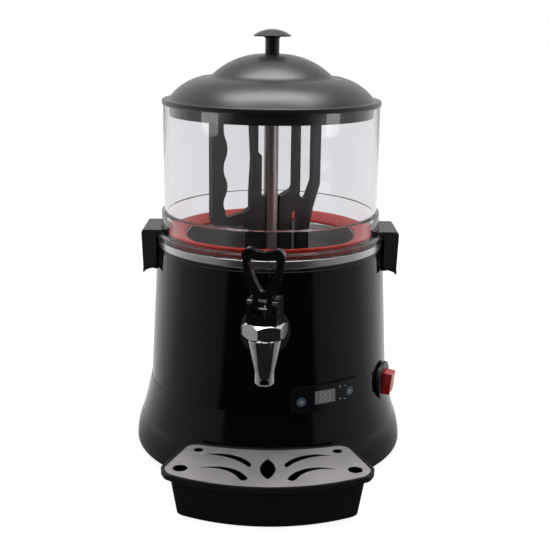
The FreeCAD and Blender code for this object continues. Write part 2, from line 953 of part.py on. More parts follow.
def spur_gear(teeth, addendum, bore, bottom, turn):
    """Spur gear with involute flanks: each flank is a few short lines between base circle and tip."""
    pitch = gear_module * teeth / 2
    pressure = math.radians(pressure_angle)
    base = pitch * math.cos(pressure)
    tip = pitch + addendum
    root = pitch - 1.25 * gear_module
    half_tooth = (math.pi * gear_module - gear_backlash) / (4 * pitch)
    start = max(base, root) + 0.001
    radii = [start + (tip - start) * k / 3 for k in range(4)]
    points = []
    for tooth in range(teeth):
        centre = math.radians(turn) + 2 * math.pi * tooth / teeth
        flank = []
        for radius in radii:
            reach = half_tooth + involute(pressure) - involute(math.acos(base / radius))
            flank.append((radius, reach))
        left = [(root, flank[0][1])] + flank
        points += [(r, centre - a) for r, a in left]
        points += [(r, centre + a) for r, a in reversed(left)]
    corners = [V(r * math.cos(a), r * math.sin(a), bottom) for r, a in points]
    blank = Part.Face(Part.makePolygon(corners + [corners[0]])).extrude(V(0, 0, gear_thickness))
    return blank.cut(disc(bore, bottom - 1, bottom + gear_thickness + 1))


def drive_gear():
    half_pitch = 180.0 / gear_teeth
    return spur_gear(gear_teeth, 0.6 * gear_module, output_radius + press_gap, gear_bottom, half_pitch)


def motor_pinion():
    gear = spur_gear(pinion_teeth, gear_module, motor_shaft_radius, gear_bottom, 0.0)
    shaft = disc(motor_shaft_radius, gearbox_floor_height - motor_length + 6.0, gear_bottom + gear_thickness)
    rotor = disc(motor_radius - 5.0, gearbox_floor_height - motor_length + 8.0, gearbox_floor_height - 8.0)
    moved = joined(gear, shaft, rotor)
    moved.translate(V(0, gear_distance, 0))
    return moved


def motor_can():
    bottom = gearbox_floor_height - motor_length
    can = ring(motor_radius, motor_radius - 2.0, bottom, gearbox_floor_height, 0, gear_distance)
    foot = disc(motor_radius, bottom - 3.0, bottom, 0, gear_distance)
    nose = disc(motor_radius, gearbox_floor_height - 3.0, gearbox_floor_height, 0, gear_distance)
    shaft_clear = motor_shaft_radius + running_gap
    bore = disc(shaft_clear, gearbox_floor_height - 4.0, gearbox_floor_height + 1.0, 0, gear_distance)
    tail = disc(motor_radius - 12.0, bottom - 6.0, bottom - 3.0, 0, gear_distance)
    pocket = ring(motor_radius - 12.0, shaft_clear, bottom, bottom + 6.0, 0, gear_distance)
    return joined(can, foot, nose, tail, pocket).cut(bore)


def gearbox_corners():
    """Screw places at the four corners of the gearbox."""
    half = gearbox_half_width - 3.5
    back = gear_distance + gearbox_half_width - 13.5
    return [(-half, -half), (half, -half), (-half, back), (half, back)]


def gearbox_body(inset, bottom, top):
    half = gearbox_half_width - inset
    back = gear_distance + gearbox_half_width - 10.0 - inset
    return block(-half, half, -half, back, bottom, top)


def gearbox_housing():
    case = gearbox_body(0, gearbox_floor_height, gearbox_top)
    floor = gearbox_floor_height + gearbox_wall
    hollow = gearbox_body(gearbox_wall, floor, gearbox_top)
    columns = [disc(3.6, floor, gearbox_top, x, y) for x, y in gearbox_corners()]
    hollow = hollow.cut(columns)
    shaft_hole = disc(motor_shaft_radius + 1.0, gearbox_floor_height - 1, floor + 1, 0, gear_distance)
    seat = ring(output_radius + 3.0, output_radius + running_gap, floor, gear_bottom - 0.4)
    shell = joined(case.cut([hollow, shaft_hole]), seat)
    pilot = small_screw_radius + press_gap
    pilots = [disc(pilot, gearbox_top - 12.0, gearbox_top, x, y) for x, y in gearbox_corners()]
    return shell.cut(pilots)


def gearbox_cover():
    cover = gearbox_body(0, gearbox_top, cover_top)
    tools = [disc(output_radius + running_gap, gearbox_top - 1, cover_top + 1)]
    for x, y in gearbox_corners():
        tools.append(disc(small_screw_radius + screw_gap, gearbox_top - 1, cover_top + 1, x, y))
    return cover.cut(tools)


def bracket_screw_spots():
    x = bracket_half_width + 0.55 * bracket_foot_width
    return [(side * x, y) for side in (-1, 1) for y in (-22.0, gear_distance + 10.0)]


# Motor bracket: a bent steel bridge that stands on the base plate and carries the gearbox
def motor_bracket():
    front = -gearbox_half_width - bracket_margin
    back = gear_distance + gearbox_half_width - 10.0 + bracket_margin
    half = bracket_half_width
    t = bracket_thickness
    bridge = block(-half, half, front, back, cover_top, bracket_top)
    pieces = []
    for side in (-1, 1):
        inner, outer = sorted((side * (half - t), side * half))
        pieces.append(block(inner, outer, front, back, plate_top, bracket_top))
        inner, outer = sorted((side * (half - t), side * (half + bracket_foot_width)))
        pieces.append(block(inner, outer, front, back, plate_top, plate_top + t))
    frame = joined(bridge, *pieces)
    tools = [disc(output_radius + 3.0, cover_top - 1, bracket_top + 1)]
    for x, y in gearbox_corners():
        tools.append(disc(small_screw_radius + screw_gap, cover_top - 1, bracket_top + 1, x, y))
    for x, y in bracket_screw_spots():
        tools.append(disc(small_screw_radius + screw_gap, plate_top - 1, plate_top + t + 1, x, y))
    return frame.cut(tools)


def drive_screws():
    """Four screws down into the gearbox and four bolts up through the bracket's feet."""
    group = []
    for x, y in gearbox_corners():
        head = disc(small_head_radius, bracket_top, bracket_top + small_head_height, x, y)
        group.append(joined(head, disc(small_screw_radius, gearbox_top - 10.0, bracket_top, x, y)))
    for x, y in bracket_screw_spots():
        group.append(
            screw_up(
                x, y, plate_bottom, plate_top + bracket_thickness + 4.0, small_screw_radius,
                small_head_radius, small_head_height, plate_top + bracket_thickness,
            )
        )
    return Part.makeCompound(group)


# Tap. Its upper half is built facing the front on its own axis, then turned by the tap's yaw.
def on_tap(shape):
    moved = shape.copy()
    moved.rotate(V(0, 0, 0), V(0, 0, 1), tap_yaw)
    moved.translate(V(tap_offset, tap_y, 0))
    return moved


def tap_nozzle():
    b = spout_bottom_height
    s = spout_radius
    lift = math.tan(math.radians(45))
    seat_top = seat_height + (chamber_radius - spout_bore_radius) * lift
    shoulder = spout_shoulder_height
    path = [
        (spout_bore_radius, b),
        (s - 1.6, b),
        ((s - 0.4, b + 0.5), (s, b + 1.8)),
        (s, b + spout_straight - 3.0),
        ((s + 0.12, b + spout_straight), (s + 0.75, b + spout_straight + 3.5)),
        (spout_shoulder_radius, shoulder - 0.2),
        (thread_radius, shoulder - 0.2),
        (thread_radius, shoulder + thread_height),
        (chamber_radius, shoulder + thread_height),
        (chamber_radius, seat_top),
        (spout_bore_radius, seat_height),
    ]
    spout = turned(path)
    reach = tap_reach - body_radius(branch_height) - washer_thickness
    branch = rod(branch_radius, V(0, 0, branch_height), V(0, reach, branch_height))
    inner = rod(outlet_bore_radius, V(0, 0, branch_height), V(0, reach + 1, branch_height))
    socket = rod(
        outlet_radius + press_gap, V(0, reach - socket_depth, branch_height), V(0, reach + 1, branch_height)
    )
    chamber = disc(chamber_radius, seat_top, shoulder + thread_height)
    window = rod(spout_window_radius, V(0, 0, spout_window_height), V(0, -20, spout_window_height))
    flute_tip = V(0, -spout_radius - 1.3, spout_shoulder_height - 32.0)
    flute_lean = V(0, -(spout_shoulder_radius + flute_radius - flute_depth - spout_radius - 1.3), 32.0)
    flute = Part.makeCone(0.8, flute_radius, 34.0, flute_tip, flute_lean)
    tap = joined(spout, branch.cut(chamber)).cut([inner, socket, window, flute])
    tap.translate(V(tap_offset, tap_y, 0))
    return tap


def tap_nut():
    bottom = spout_shoulder_height
    top = bottom + nut_height
    hexed = hexagon(nut_flats, bottom, top, turn=nut_turn)
    reach = nut_flats / math.sqrt(3)
    flat = nut_flats / 2
    c = nut_chamfer
    hull = turned([
        (0, bottom), (flat - 1.5, bottom), (reach, bottom + 1.6 * c),
        (reach, top - c), (flat - 0.6, top), (0, top),
    ])
    tools = [
        disc(thread_radius + running_gap, bottom - 1, top - nut_lip),
        disc(bonnet_neck_radius + screw_gap, bottom, top + 1),
    ]
    nut = hexed.common(hull).cut(tools)
    nut.translate(V(tap_offset, tap_y, 0))
    return nut


bonnet_flange_bottom = spout_shoulder_height + thread_height
nut_top = spout_shoulder_height + nut_height
bonnet_base = nut_top + 0.3
bonnet_top = bonnet_base + bonnet_height
bonnet_floor_top = bonnet_base + bonnet_floor


def tap_bonnet():
    half = bonnet_width / 2
    deep = bonnet_depth / 2
    gap = half - cheek_thickness
    side = lambda y, z, x: V(x, y, z)
    cheek_path = [
        (-deep, bonnet_base),
        (deep, bonnet_base),
        (deep, bonnet_top - 6.0),
        ((deep - 1.8, bonnet_top - 1.8), (deep - 6.0, bonnet_top)),
        (-deep + 7.0, bonnet_top),
        ((-deep + 2.1, bonnet_top - 2.1), (-deep, bonnet_top - 7.0)),
    ]
    case = prism(cheek_path, -half, half, side)
    slot = block(-gap, gap, -deep - 1, deep + 1, bonnet_floor_top, bonnet_top + 1)
    neck = disc(bonnet_neck_radius, bonnet_flange_bottom, bonnet_base + 1)
    flange = disc(thread_radius - 0.4, bonnet_flange_bottom, bonnet_flange_bottom + bonnet_flange)
    seat = disc(spring_radius + 2.0, bonnet_flange_bottom - 1, bonnet_flange_bottom + spring_seat_depth)
    stem_hole = disc(stem_radius + running_gap, bonnet_flange_bottom - 1, bonnet_top)
    pin_hole = rod(
        lever_pin_radius + press_gap, V(-half - 1, -lever_pin_forward, lever_pin_height),
        V(half + 1, -lever_pin_forward, lever_pin_height),
    )
    solid = joined(case.cut(slot), neck, flange).cut([seat, stem_hole, pin_hole])
    return on_tap(solid)


# Lever: a shield-shaped loop on two arms that straddle the stem and lift its head from below
def tap_lever():
    y0 = -lever_pin_forward - lever_thickness / 2
    y1 = -lever_pin_forward + lever_thickness / 2
    front = lambda x, z, y: V(x, y, z)
    side = lambda y, z, x: V(x, y, z)
    arm_outer = bonnet_width / 2 - cheek_thickness - lever_side_gap
    foot = lever_foot_half_width
    wide = lever_half_width
    neck = lever_neck_height
    shoulder = lever_shoulder_height
    top = lever_top_height
    bar = lever_bar
    middle = (neck + shoulder) / 2
    outer = [
        (-arm_outer, lever_bridge_height),
        (arm_outer, lever_bridge_height),
        (arm_outer, neck),
        ((foot - 1.0, neck + 0.7), (foot, neck + 3.0)),
        ((0.5 * (foot + wide) + 0.9, middle), (wide, shoulder)),
        ((wide - 0.7, top - 3.0), (wide - 7.0, top)),
        ((0, top - lever_saddle_depth), (-wide + 7.0, top)),
        ((-wide + 0.7, top - 3.0), (-wide, shoulder)),
        ((-0.5 * (foot + wide) - 0.9, middle), (-foot, neck + 3.0)),
        ((-foot + 1.0, neck + 0.7), (-arm_outer, neck)),
    ]
    hole_top = top - lever_saddle_depth - bar - 1.0
    hole_side = wide - bar + 0.8
    opening = [
        (-hole_side + 3.0, hole_top + 1.8),
        ((-hole_side + 0.7, hole_top + 0.6), (-hole_side, hole_top - 2.5)),
        ((-0.5 * hole_side - 3.0, middle + 1.0), (-3.2, neck + 4.5)),
        ((0, neck + 2.4), (3.2, neck + 4.5)),
        ((0.5 * hole_side + 3.0, middle + 1.0), (hole_side, hole_top - 2.5)),
        ((hole_side - 0.7, hole_top + 0.6), (hole_side - 3.0, hole_top + 1.8)),
        ((0, hole_top), (-hole_side + 3.0, hole_top + 1.8)),
    ]
    loop = prism(outer, y0, y1, front).cut(prism(opening, y0 - 1, y1 + 1, front))
    pieces = []
    for sign in (-1, 1):
        x0, x1 = sorted((sign * lever_arm_gap, sign * arm_outer))
        pieces.append(block(x0, x1, y0, y1, lever_pin_height, lever_bridge_height + 1.0))
        eye = rod(
            lever_eye_radius, V(x0, -lever_pin_forward, lever_pin_height),
            V(x1, -lever_pin_forward, lever_pin_height),
        )
        pieces.append(eye)
        prong = [
            (-lever_pin_forward, lever_pin_height - 3.0),
            (lever_prong_reach - lever_pin_forward - 1.5, lever_pin_height - 1.0),
            (lever_prong_reach - lever_pin_forward, lever_pin_height + 1.0),
            (lever_prong_reach - lever_pin_forward, lever_pin_height + 3.0),
            (-lever_pin_forward, lever_pin_height + 3.0),
        ]
        pieces.append(prism(prong, x0, x1, side))
    lever = joined(loop, *pieces)
    pin_hole = rod(
        lever_pin_radius + running_gap, V(-20, -lever_pin_forward, lever_pin_height),
        V(20, -lever_pin_forward, lever_pin_height),
    )
    return on_tap(lever.cut(pin_hole))


def tap_lever_pin():
    half = bonnet_width / 2 - 0.3
    return on_tap(
        rod(
            lever_pin_radius, V(-half, -lever_pin_forward, lever_pin_height),
            V(half, -lever_pin_forward, lever_pin_height),
        )
    )


cup_bottom = seat_height - 0.1
cup_top = cup_bottom + cup_height
collar_top = cup_top + stem_collar_thickness
stem_head_bottom = lever_pin_height + 3.0 + seat_gap


def tap_stem():
    shank = disc(stem_radius, cup_top - 6.0, stem_head_bottom + stem_head_thickness)
    collar = disc(stem_collar_radius, cup_top, collar_top)
    head = disc(stem_head_radius, stem_head_bottom, stem_head_bottom + stem_head_thickness)
    flat = lever_thickness / 2 - lever_pin_forward + 0.4
    front = block(-20, 20, -20, flat, stem_head_bottom - 1, stem_head_bottom + stem_head_thickness + 1)
    return on_tap(joined(shank, collar, head.cut(front)))


def tap_seat_cup():
    slope = cup_radius - spout_bore_radius + 0.5
    path = [
        (0, cup_bottom),
        (spout_bore_radius - 0.5, cup_bottom),
        (cup_radius, cup_bottom + slope),
        (cup_radius, cup_top),
        (stem_radius + press_gap, cup_top),
        (stem_radius + press_gap, cup_top - 6.0),
        (0, cup_top - 6.0),
    ]
    return on_tap(turned(path))


# Spring: one unbroken tube on a helix of quarter turns, between the collar and the bonnet
def tap_spring():
    bottom = collar_top + spring_wire / 2 + 0.05
    top = bonnet_flange_bottom + spring_seat_depth - spring_wire / 2 - 0.05
    pitch = (top - bottom) / spring_turns

    def on_helix(turns):
        angle = 2 * math.pi * turns
        return V(spring_radius * math.cos(angle), spring_radius * math.sin(angle), bottom + pitch * turns)

    quarters = []
    for k in range(4 * spring_turns):
        start = k / 4
        quarters.append(Part.Arc(on_helix(start), on_helix(start + 0.125), on_helix(start + 0.25)).toShape())
    path = Part.Wire(quarters)
    along = V(0, 1, pitch / (2 * math.pi * spring_radius))
    loop = Part.Wire(Part.makeCircle(spring_wire / 2, on_helix(0), along))
    coil = path.makePipeShell([loop], True, False)
    print(f"tap_spring: least gap between its turns {pitch - spring_wire:.2f} mm")
    return on_tap(coil)


def outlet_tube():
    inner_end = -tank_radius + outlet_inside
    outer_end = -body_radius(branch_height) - washer_thickness - socket_depth + 0.5
    start = V(tap_offset, inner_end, branch_height)
    end = V(tap_offset, outer_end, branch_height)
    return rod(outlet_radius, start, end).cut(rod(outlet_bore_radius, start, end))


# Washer: a thick rubber disc that is flat towards the tap and hollowed to the round housing
def tap_washer():
    front = -body_radius(branch_height) - washer_thickness
    start = V(tap_offset, front, branch_height)
    end = V(tap_offset, front + 12.0, branch_height)
    pad = rod(washer_radius, start, end)
    bore = rod(outlet_radius + seat_gap, start, end)
    housing = body_cone(0.05, branch_height - 40.0, branch_height + 40.0)
    return pad.cut([bore, housing])


# Clip: a channel that hooks over the jar's flange and turns outwards on a pin near its foot
def clip_right():
    y = clip_half_length
    face = clip_outer_face
    top = jar_flange_top + clip_plate_thickness
    bottom = clip_bottom_height
    side = lambda x, z, yy: V(x, yy, z)
    swing = clip_pin_x - clip_cheek_inset
    dip = swing * math.sqrt(0.5)
    profile = [
        (jar_band_radius - 6.0, jar_flange_top),
        (clip_cheek_inset, jar_flange_top),
        (clip_cheek_inset, clip_pin_height),
        ((clip_pin_x - dip, clip_pin_height - dip), (clip_pin_x, clip_pin_height - swing)),
        (face - clip_wall, bottom),
        (face - clip_wall + 1.0, bottom - clip_lip_drop),
        (face - 0.6, bottom - clip_lip_drop),
        (face - 1.2, bottom + 4.0),
        (face, jar_flange_top - 2.0),
        (face, top - 3.0),
        ((face - 0.9, top - 0.9), (face - 3.0, top)),
        (jar_band_radius - 6.0, top),
    ]
    body = prism(profile, -y, y, side)
    inner = y - clip_wall + 0.1
    hollow = block(clip_cheek_inset - 1, face - clip_wall, -inner, inner, bottom - 5, jar_flange_top)
    jar_wall = disc(jar_band_radius + 0.6, jar_flange_top - 1, top + 1)
    jar_foot_fillet = disc(jar_band_radius + 1.8, jar_flange_top - 1, jar_flange_top + 1.7)
    near = V(clip_pin_x, -y - 1, clip_pin_height)
    far = V(clip_pin_x, y + 1, clip_pin_height)
    bore = rod(clip_pin_radius + running_gap, near, far)
    return body.cut([hollow, jar_wall, jar_foot_fillet, bore])


def clip_bracket():
    inner = clip_half_length - clip_wall - clip_side_gap
    bottom = clip_pin_height - 0.45 * clip_bracket_height
    top = bottom + clip_bracket_height
    housing = body_cone(0.05, bottom - 10, top + 10)
    pad = block(
        body_radius(top) - 8.0, body_radius(bottom) + clip_bracket_depth - 4.0, -inner, inner, bottom, top
    )
    pieces = []
    for sign in (-1, 1):
        y0, y1 = sorted((sign * (inner - clip_ear_thickness), sign * inner))
        ear = rod(clip_ear_radius, V(clip_pin_x, y0, clip_pin_height), V(clip_pin_x, y1, clip_pin_height))
        web = block(
            body_radius(top) - 8.0, clip_pin_x, y0, y1,
            clip_pin_height - clip_ear_radius, clip_pin_height + clip_ear_radius,
        )
        pieces += [ear, web]
    bracket = joined(pad, *pieces)
    near = V(clip_pin_x, -inner - 1, clip_pin_height)
    far = V(clip_pin_x, inner + 1, clip_pin_height)
    tools = [housing, rod(clip_pin_radius + press_gap, near, far)]
    for y, z in clip_screw_spots():
        tools.append(rod(small_screw_radius + screw_gap, V(100, y, z), V(150, y, z)))
    return bracket.cut(tools)


def clip_pin():
    end = clip_half_length - 0.4
    return rod(clip_pin_radius, V(clip_pin_x, -end, clip_pin_height), V(clip_pin_x, end, clip_pin_height))


def clip_screws_right():
    seat = body_radius(clip_pin_height - 0.45 * clip_bracket_height) + clip_bracket_depth - 4.0
    inside = body_radius(clip_pin_height) - body_wall - 5.0
    group = []
    for y, z in clip_screw_spots():
        head = rod(small_head_radius, V(seat, y, z), V(seat + small_head_height, y, z))
        shank = rod(small_screw_radius, V(inside, y, z), V(seat, y, z))
        group.append(joined(head, shank))
    return Part.makeCompound(group)


def both_sides(shape):
    return Part.makeCompound(shape.Solids + mirrored(shape).Solids)


# Control panel: a curved moulding on the housing, with a window, two buttons and two lights
panel_bottom = seam_height + panel_lift
panel_top = seam_height + panel_lift + panel_height
panel_middle = (panel_start + panel_end) / 2


def panel_band(inner, outer, bottom, top, start, end):
    """Curved slab that follows the housing's cone between two offsets from its surface."""
    path = [
        (body_radius(bottom) + inner, bottom),
        (body_radius(bottom) + outer, bottom),
        (body_radius(top) + outer, top),
        (body_radius(top) + inner, top),
    ]
    return turned(path, start, end - start)


def radial_rod(radius, azimuth, z, near, far):
    return at_azimuth(rod(radius, V(0, -near, z), V(0, -far, z)), azimuth)


def button_spots():
    return [(left_button_azimuth, left_button_height), (right_button_azimuth, right_button_height)]


def panel_housing():
    case = panel_band(0.05, panel_thickness, panel_bottom, panel_top, panel_start, panel_end)
    tools = [
        panel_band(
            panel_thickness - display_thickness - 0.1, panel_thickness + 1, display_bottom - 0.1,
            display_bottom + display_height + 0.1, display_start - 0.05, display_end + 0.05,
        )
    ]
    for azimuth, z in button_spots():
        surface = body_radius(z)
        tools.append(radial_rod(button_radius + seat_gap, azimuth, z, surface - 5, surface + 6))
        seat = button_radius + button_flange + seat_gap
        tools.append(radial_rod(seat, azimuth, z, surface - 5, surface + 1.7))
    for z in light_heights:
        surface = body_radius(z)
        tools.append(radial_rod(light_radius + press_gap, light_azimuth, z, surface - 5, surface + 6))
    posts = []
    far = math.sqrt((seam_radius + 1.2) ** 2 - post_spacing ** 2)
    for x in (-post_spacing, post_spacing):
        for z in (seam_height + 8.0, seam_height + panel_height - 7.5):
            posts.append(at_azimuth(rod(post_radius, V(x, -board_distance, z), V(x, -far, z)), panel_middle))
    return joined(case.cut(tools), *posts)


def display_window():
    back = panel_thickness - display_thickness
    front = panel_thickness - 0.05
    top = display_bottom + display_height
    return panel_band(back, front, display_bottom, top, display_start, display_end)


def panel_button(azimuth, z):
    surface = body_radius(z)
    cap = radial_rod(button_radius, azimuth, z, surface + 0.6, surface + panel_thickness + 0.35)
    flange = radial_rod(button_radius + button_flange, azimuth, z, surface + 0.6, surface + 1.6)
    return joined(cap, flange)


def indicator_lights():
    group = []
    for z in light_heights:
        far = body_radius(z) + panel_thickness + 0.1
        group.append(radial_rod(light_radius, light_azimuth, z, board_distance + 3.0, far))
    return Part.makeCompound(group)


def control_board():
    back = -board_distance + board_thickness
    bottom = seam_height + 5.0
    board = block(-board_half_length, board_half_length, -board_distance, back, bottom, bottom + board_height)
    chip = block(-18, -8, back, back + 3, bottom + 4, bottom + 14)
    relay = block(4, 22, back, back + 9, bottom + 3, bottom + 15)
    pieces = [chip, relay]
    front = -board_distance
    display_middle = (display_start + display_end) / 2
    x = board_distance * math.tan(math.radians(display_middle - panel_middle))
    display_top = display_bottom + display_height - 2
    pieces.append(block(x - 11, x + 11, front - 7, front, display_bottom + 1, display_top))
    for azimuth, z in button_spots():
        offset = math.radians(azimuth - panel_middle)
        x = body_radius(z) * math.sin(offset)
        reach = body_radius(z) * math.cos(offset) - 1.2
        pieces.append(block(x - 2.5, x + 2.5, -reach, front, z - 2.5, z + 2.5))
    for z in light_heights:
        offset = math.radians(light_azimuth - panel_middle)
        x = (board_distance + 3.0) * math.sin(offset)
        pieces.append(block(x - 1.2, x + 1.2, front - 2.0, front, z - 1.2, z + 1.2))
    return at_azimuth(joined(board, *pieces), panel_middle)


# Rocker switch: a round bezel with a barrel through the housing, a rocker and its case
pivot_distance = switch_face_distance - 2.6


def switch_bezel():
    face = -switch_face_distance
    z = switch_height
    flange = rod(switch_bezel_radius, V(0, face + switch_bezel_thickness, z), V(0, face, z))
    softened = flange.makeFillet(1.2, [edge for edge in flange.Edges if edge.BoundBox.YMax < face + 0.01])
    barrel = rod(switch_barrel_radius, V(0, face + switch_barrel_depth, z), V(0, face + 1.0, z))
    inner = switch_barrel_radius - switch_barrel_wall
    hollow = rod(inner, V(0, face + switch_barrel_depth + 1, z), V(0, face + switch_collar, z))
    half_w = rocker_width / 2 + 0.4
    half_h = rocker_height / 2 + rocker_gap
    window = block(-half_w, half_w, face - 5, face + switch_collar + 1, z - half_h, z + half_h)
    axle_left = V(-half_w - 2.6, -pivot_distance, z)
    axle_right = V(half_w + 2.6, -pivot_distance, z)
    axle = rod(trunnion_radius + running_gap, axle_left, axle_right)
    bezel = joined(softened, barrel).cut([hollow, window, axle])
    return at_azimuth(bezel, switch_azimuth)


def switch_rocker():
    z = switch_height
    half_w = rocker_width / 2
    half_h = rocker_height / 2
    front = switch_face_distance + rocker_stand
    back = pivot_distance - rocker_depth + 2.6
    side = lambda y, zz, x: V(x, y, zz)
    path = [
        (-front + 1.2, z - half_h),
        (-back, z - half_h),
        (-back, z + half_h),
        (-front + 1.2, z + half_h),
        ((-front + 0.3, z + half_h - 0.4), (-front, z + half_h - 1.4)),
        (-front, z - half_h + 1.4),
        ((-front + 0.3, z - half_h + 0.4), (-front + 1.2, z - half_h)),
    ]
    body = prism(path, -half_w, half_w, side)
    axle = rod(trunnion_radius, V(-half_w - 2.6, -pivot_distance, z), V(half_w + 2.6, -pivot_distance, z))
    rocker = joined(body, axle)
    rocker.rotate(V(0, -pivot_distance, z), V(1, 0, 0), rocker_tilt)
    return at_azimuth(rocker, switch_azimuth)


def switch_case():
    z = switch_height
    face = -switch_face_distance
    near = face + 11.8
    far = face + switch_barrel_depth
    plug = rod(switch_barrel_radius - switch_barrel_wall - press_gap, V(0, far, z), V(0, near, z))
    case = block(-11, 11, far - 0.1, far + 10, z - 13, z + 13)
    blades = [block(-3, 3, far + 10, far + 18, z + dz - 0.4, z + dz + 0.4) for dz in (-8, 0, 8)]
    return at_azimuth(joined(plug, case, *blades), switch_azimuth)


# Cord inlet: a gland through the skirt's pad with a nut behind it; no cord is fitted
def back_hexagon(flats, start, end):
    shape = hexagon(flats, start, end)
    shape.rotate(V(0, 0, 0), V(1, 0, 0), -90)
    shape.translate(V(0, 0, gland_height))
    return shape


def cable_gland():
    face = gland_pad_distance
    hex_end = face + gland_hex_thickness
    end = hex_end + gland_dome_length
    z = gland_height
    thread = rod(gland_thread_radius, V(0, face - gland_thread_length - 6.0, z), V(0, face + 1, z))
    collar = back_hexagon(gland_hex_flats, face, hex_end)
    dome = rod(gland_hex_flats / 2 - 0.4, V(0, hex_end - 0.5, z), V(0, end, z))
    dome = dome.makeFillet(3.0, [edge for edge in dome.Edges if edge.BoundBox.YMin > end - 0.01])
    bore = rod(gland_bore_radius, V(0, face - 40, z), V(0, end + 5, z))
    return joined(thread, collar, dome).cut(bore)


def gland_nut():
    inside = gland_pad_distance - gland_pad_thickness
    nut = back_hexagon(gland_hex_flats, inside - 5.0, inside)
    near = V(0, inside - 9, gland_height)
    far = V(0, inside + 1, gland_height)
    bore = rod(gland_thread_radius + running_gap, near, far)
    return nut.cut(bore)


# Drip tray and the steel plate on it
def tray_outline(grow, height):
    """Plan of the plate, grown by a margin: a hollow back, slanting sides and a bowed front."""
    back = tray_back - grow
    front = tray_front + grow
    shoulder = tray_shoulder + 0.6 * grow
    shoulder_reach = tray_shoulder_reach - 0.9 * grow
    side = tray_side + grow
    side_reach = tray_front - tray_side_setback
    corner = tray_front_corner + grow
    corner_reach = tray_front - tray_corner_setback + 0.6 * grow
    path = [
        (-shoulder, -shoulder_reach),
        ((0, -back), (shoulder, -shoulder_reach)),
        (side, -side_reach),
        (corner, -corner_reach),
        ((0, -front), (-corner, -corner_reach)),
        (-side, -side_reach),
    ]
    return section(path, lambda x, y: V(x, y, height))


def tray_block(grow, bottom, top, radius):
    """Prism of the plan with its upright corners rounded."""
    solid = tray_outline(grow, bottom).extrude(V(0, 0, top - bottom))
    upright = [edge for edge in solid.Edges if edge.BoundBox.ZLength > top - bottom - 0.01]
    return solid.makeFillet(radius, upright)


def tray_loft(grow_top, grow_bottom, bottom, top):
    """Drafted block between a larger plan above and a smaller one below, both with rounded corners."""
    wires = []
    for grow, height in ((grow_bottom, bottom), (grow_top, top)):
        slab = tray_block(grow, height, height + 1.0, tray_corner_radius - 3.0)
        base = [face for face in slab.Faces if face.BoundBox.ZMax < height + 0.01][0]
        wires.append(base.OuterWire)
    return Part.makeLoft(wires, True, True)


def skirt_keepout(gap):
    """Room that the skirt takes up, grown by a gap: cones between the points of the skirt's outline."""
    outline = skirt_outline(gap)
    outer = outline[0][0]
    path = [(0, -5), (outer, -5), outline[0]]
    for middle, end in outline[1:]:
        path += [middle, end]
    return turned(path + [(0, seam_height)])


def drip_tray():
    rim_bottom = tray_rim_height
    ledge_top = rim_bottom + tray_ledge_thickness
    lip_top = ledge_top + tray_lip_height
    rim = tray_block(tray_rim_margin, rim_bottom, lip_top, tray_corner_radius + tray_rim_margin)
    seat = tray_block(grille_gap, ledge_top, lip_top + 1, tray_corner_radius + grille_gap)
    floor_inset = -tray_floor_inset
    walls = tray_loft(-tray_wall_inset, floor_inset, tray_bottom_height, rim_bottom)
    inner_top = -tray_wall_inset - tray_wall
    hollow = tray_loft(inner_top, floor_inset - tray_wall, tray_bottom_height + tray_wall, rim_bottom)
    neck = tray_block(inner_top, rim_bottom - 0.2, lip_top + 1, tray_corner_radius - 2.0)
    cavity = joined(hollow, neck).cut(skirt_keepout(tray_skirt_gap + tray_wall))
    tray = joined(rim, walls).cut([seat, cavity, skirt_keepout(tray_skirt_gap)])
    tongues = []
    for side in (-1, 1):
        x0, x1 = sorted((side * tongue_spacing, side * (tongue_spacing + tongue_width)))
        start = -tray_back - 14.0
        tongues.append(block(x0, x1, start, -tongue_end, tongue_height, tongue_height + tongue_thickness))
    return joined(tray, *tongues)


def slot(path, bottom, top):
    return prism(path, bottom, top, lambda x, y, z: V(x, y, z))


def tray_grille():
    bottom = tray_rim_height + tray_ledge_thickness
    top = bottom + grille_thickness
    plate = tray_block(0, bottom, top, tray_corner_radius)
    z0 = bottom - 1
    z1 = top + 1
    leaf = [
        (0, -165.4),
        ((-7.6, -187.2), (0, -209.2)),
        ((7.6, -187.2), (0, -165.4)),
    ]
    upper = [
        (-65.8, -156.9),
        ((-37.5, -156.2), (-15.9, -177.6)),
        (-17.2, -183.4),
        (-19.6, -183.4),
        ((-39.5, -163.4), (-65.8, -156.9)),
    ]
    lower = [
        (-69.6, -187.9),
        ((-40.5, -184.2), (-18.6, -209.4)),
        (-23.8, -212.4),
        (-27.2, -209.2),
        ((-44.5, -189.4), (-69.6, -187.9)),
    ]
    tools = [slot(leaf, z0, z1)]
    for path in (upper, lower):
        cutter = slot(path, z0, z1)
        tools += [cutter, mirrored(cutter)]
    for sign in (-1, 1):
        tools.append(disc(small_hole_radius, z0, z1, sign * small_hole_spot[0], -small_hole_spot[1]))
        tools.append(disc(large_hole_radius, z0, z1, sign * large_hole_spot[0], -large_hole_spot[1]))
    return plate.cut(tools)


def rail_screw_spots():
    x = tongue_spacing - guide_rail_wall - 6.0
    return [(side * x, -y) for side in (-1, 1) for y in (96.0, 70.0)]


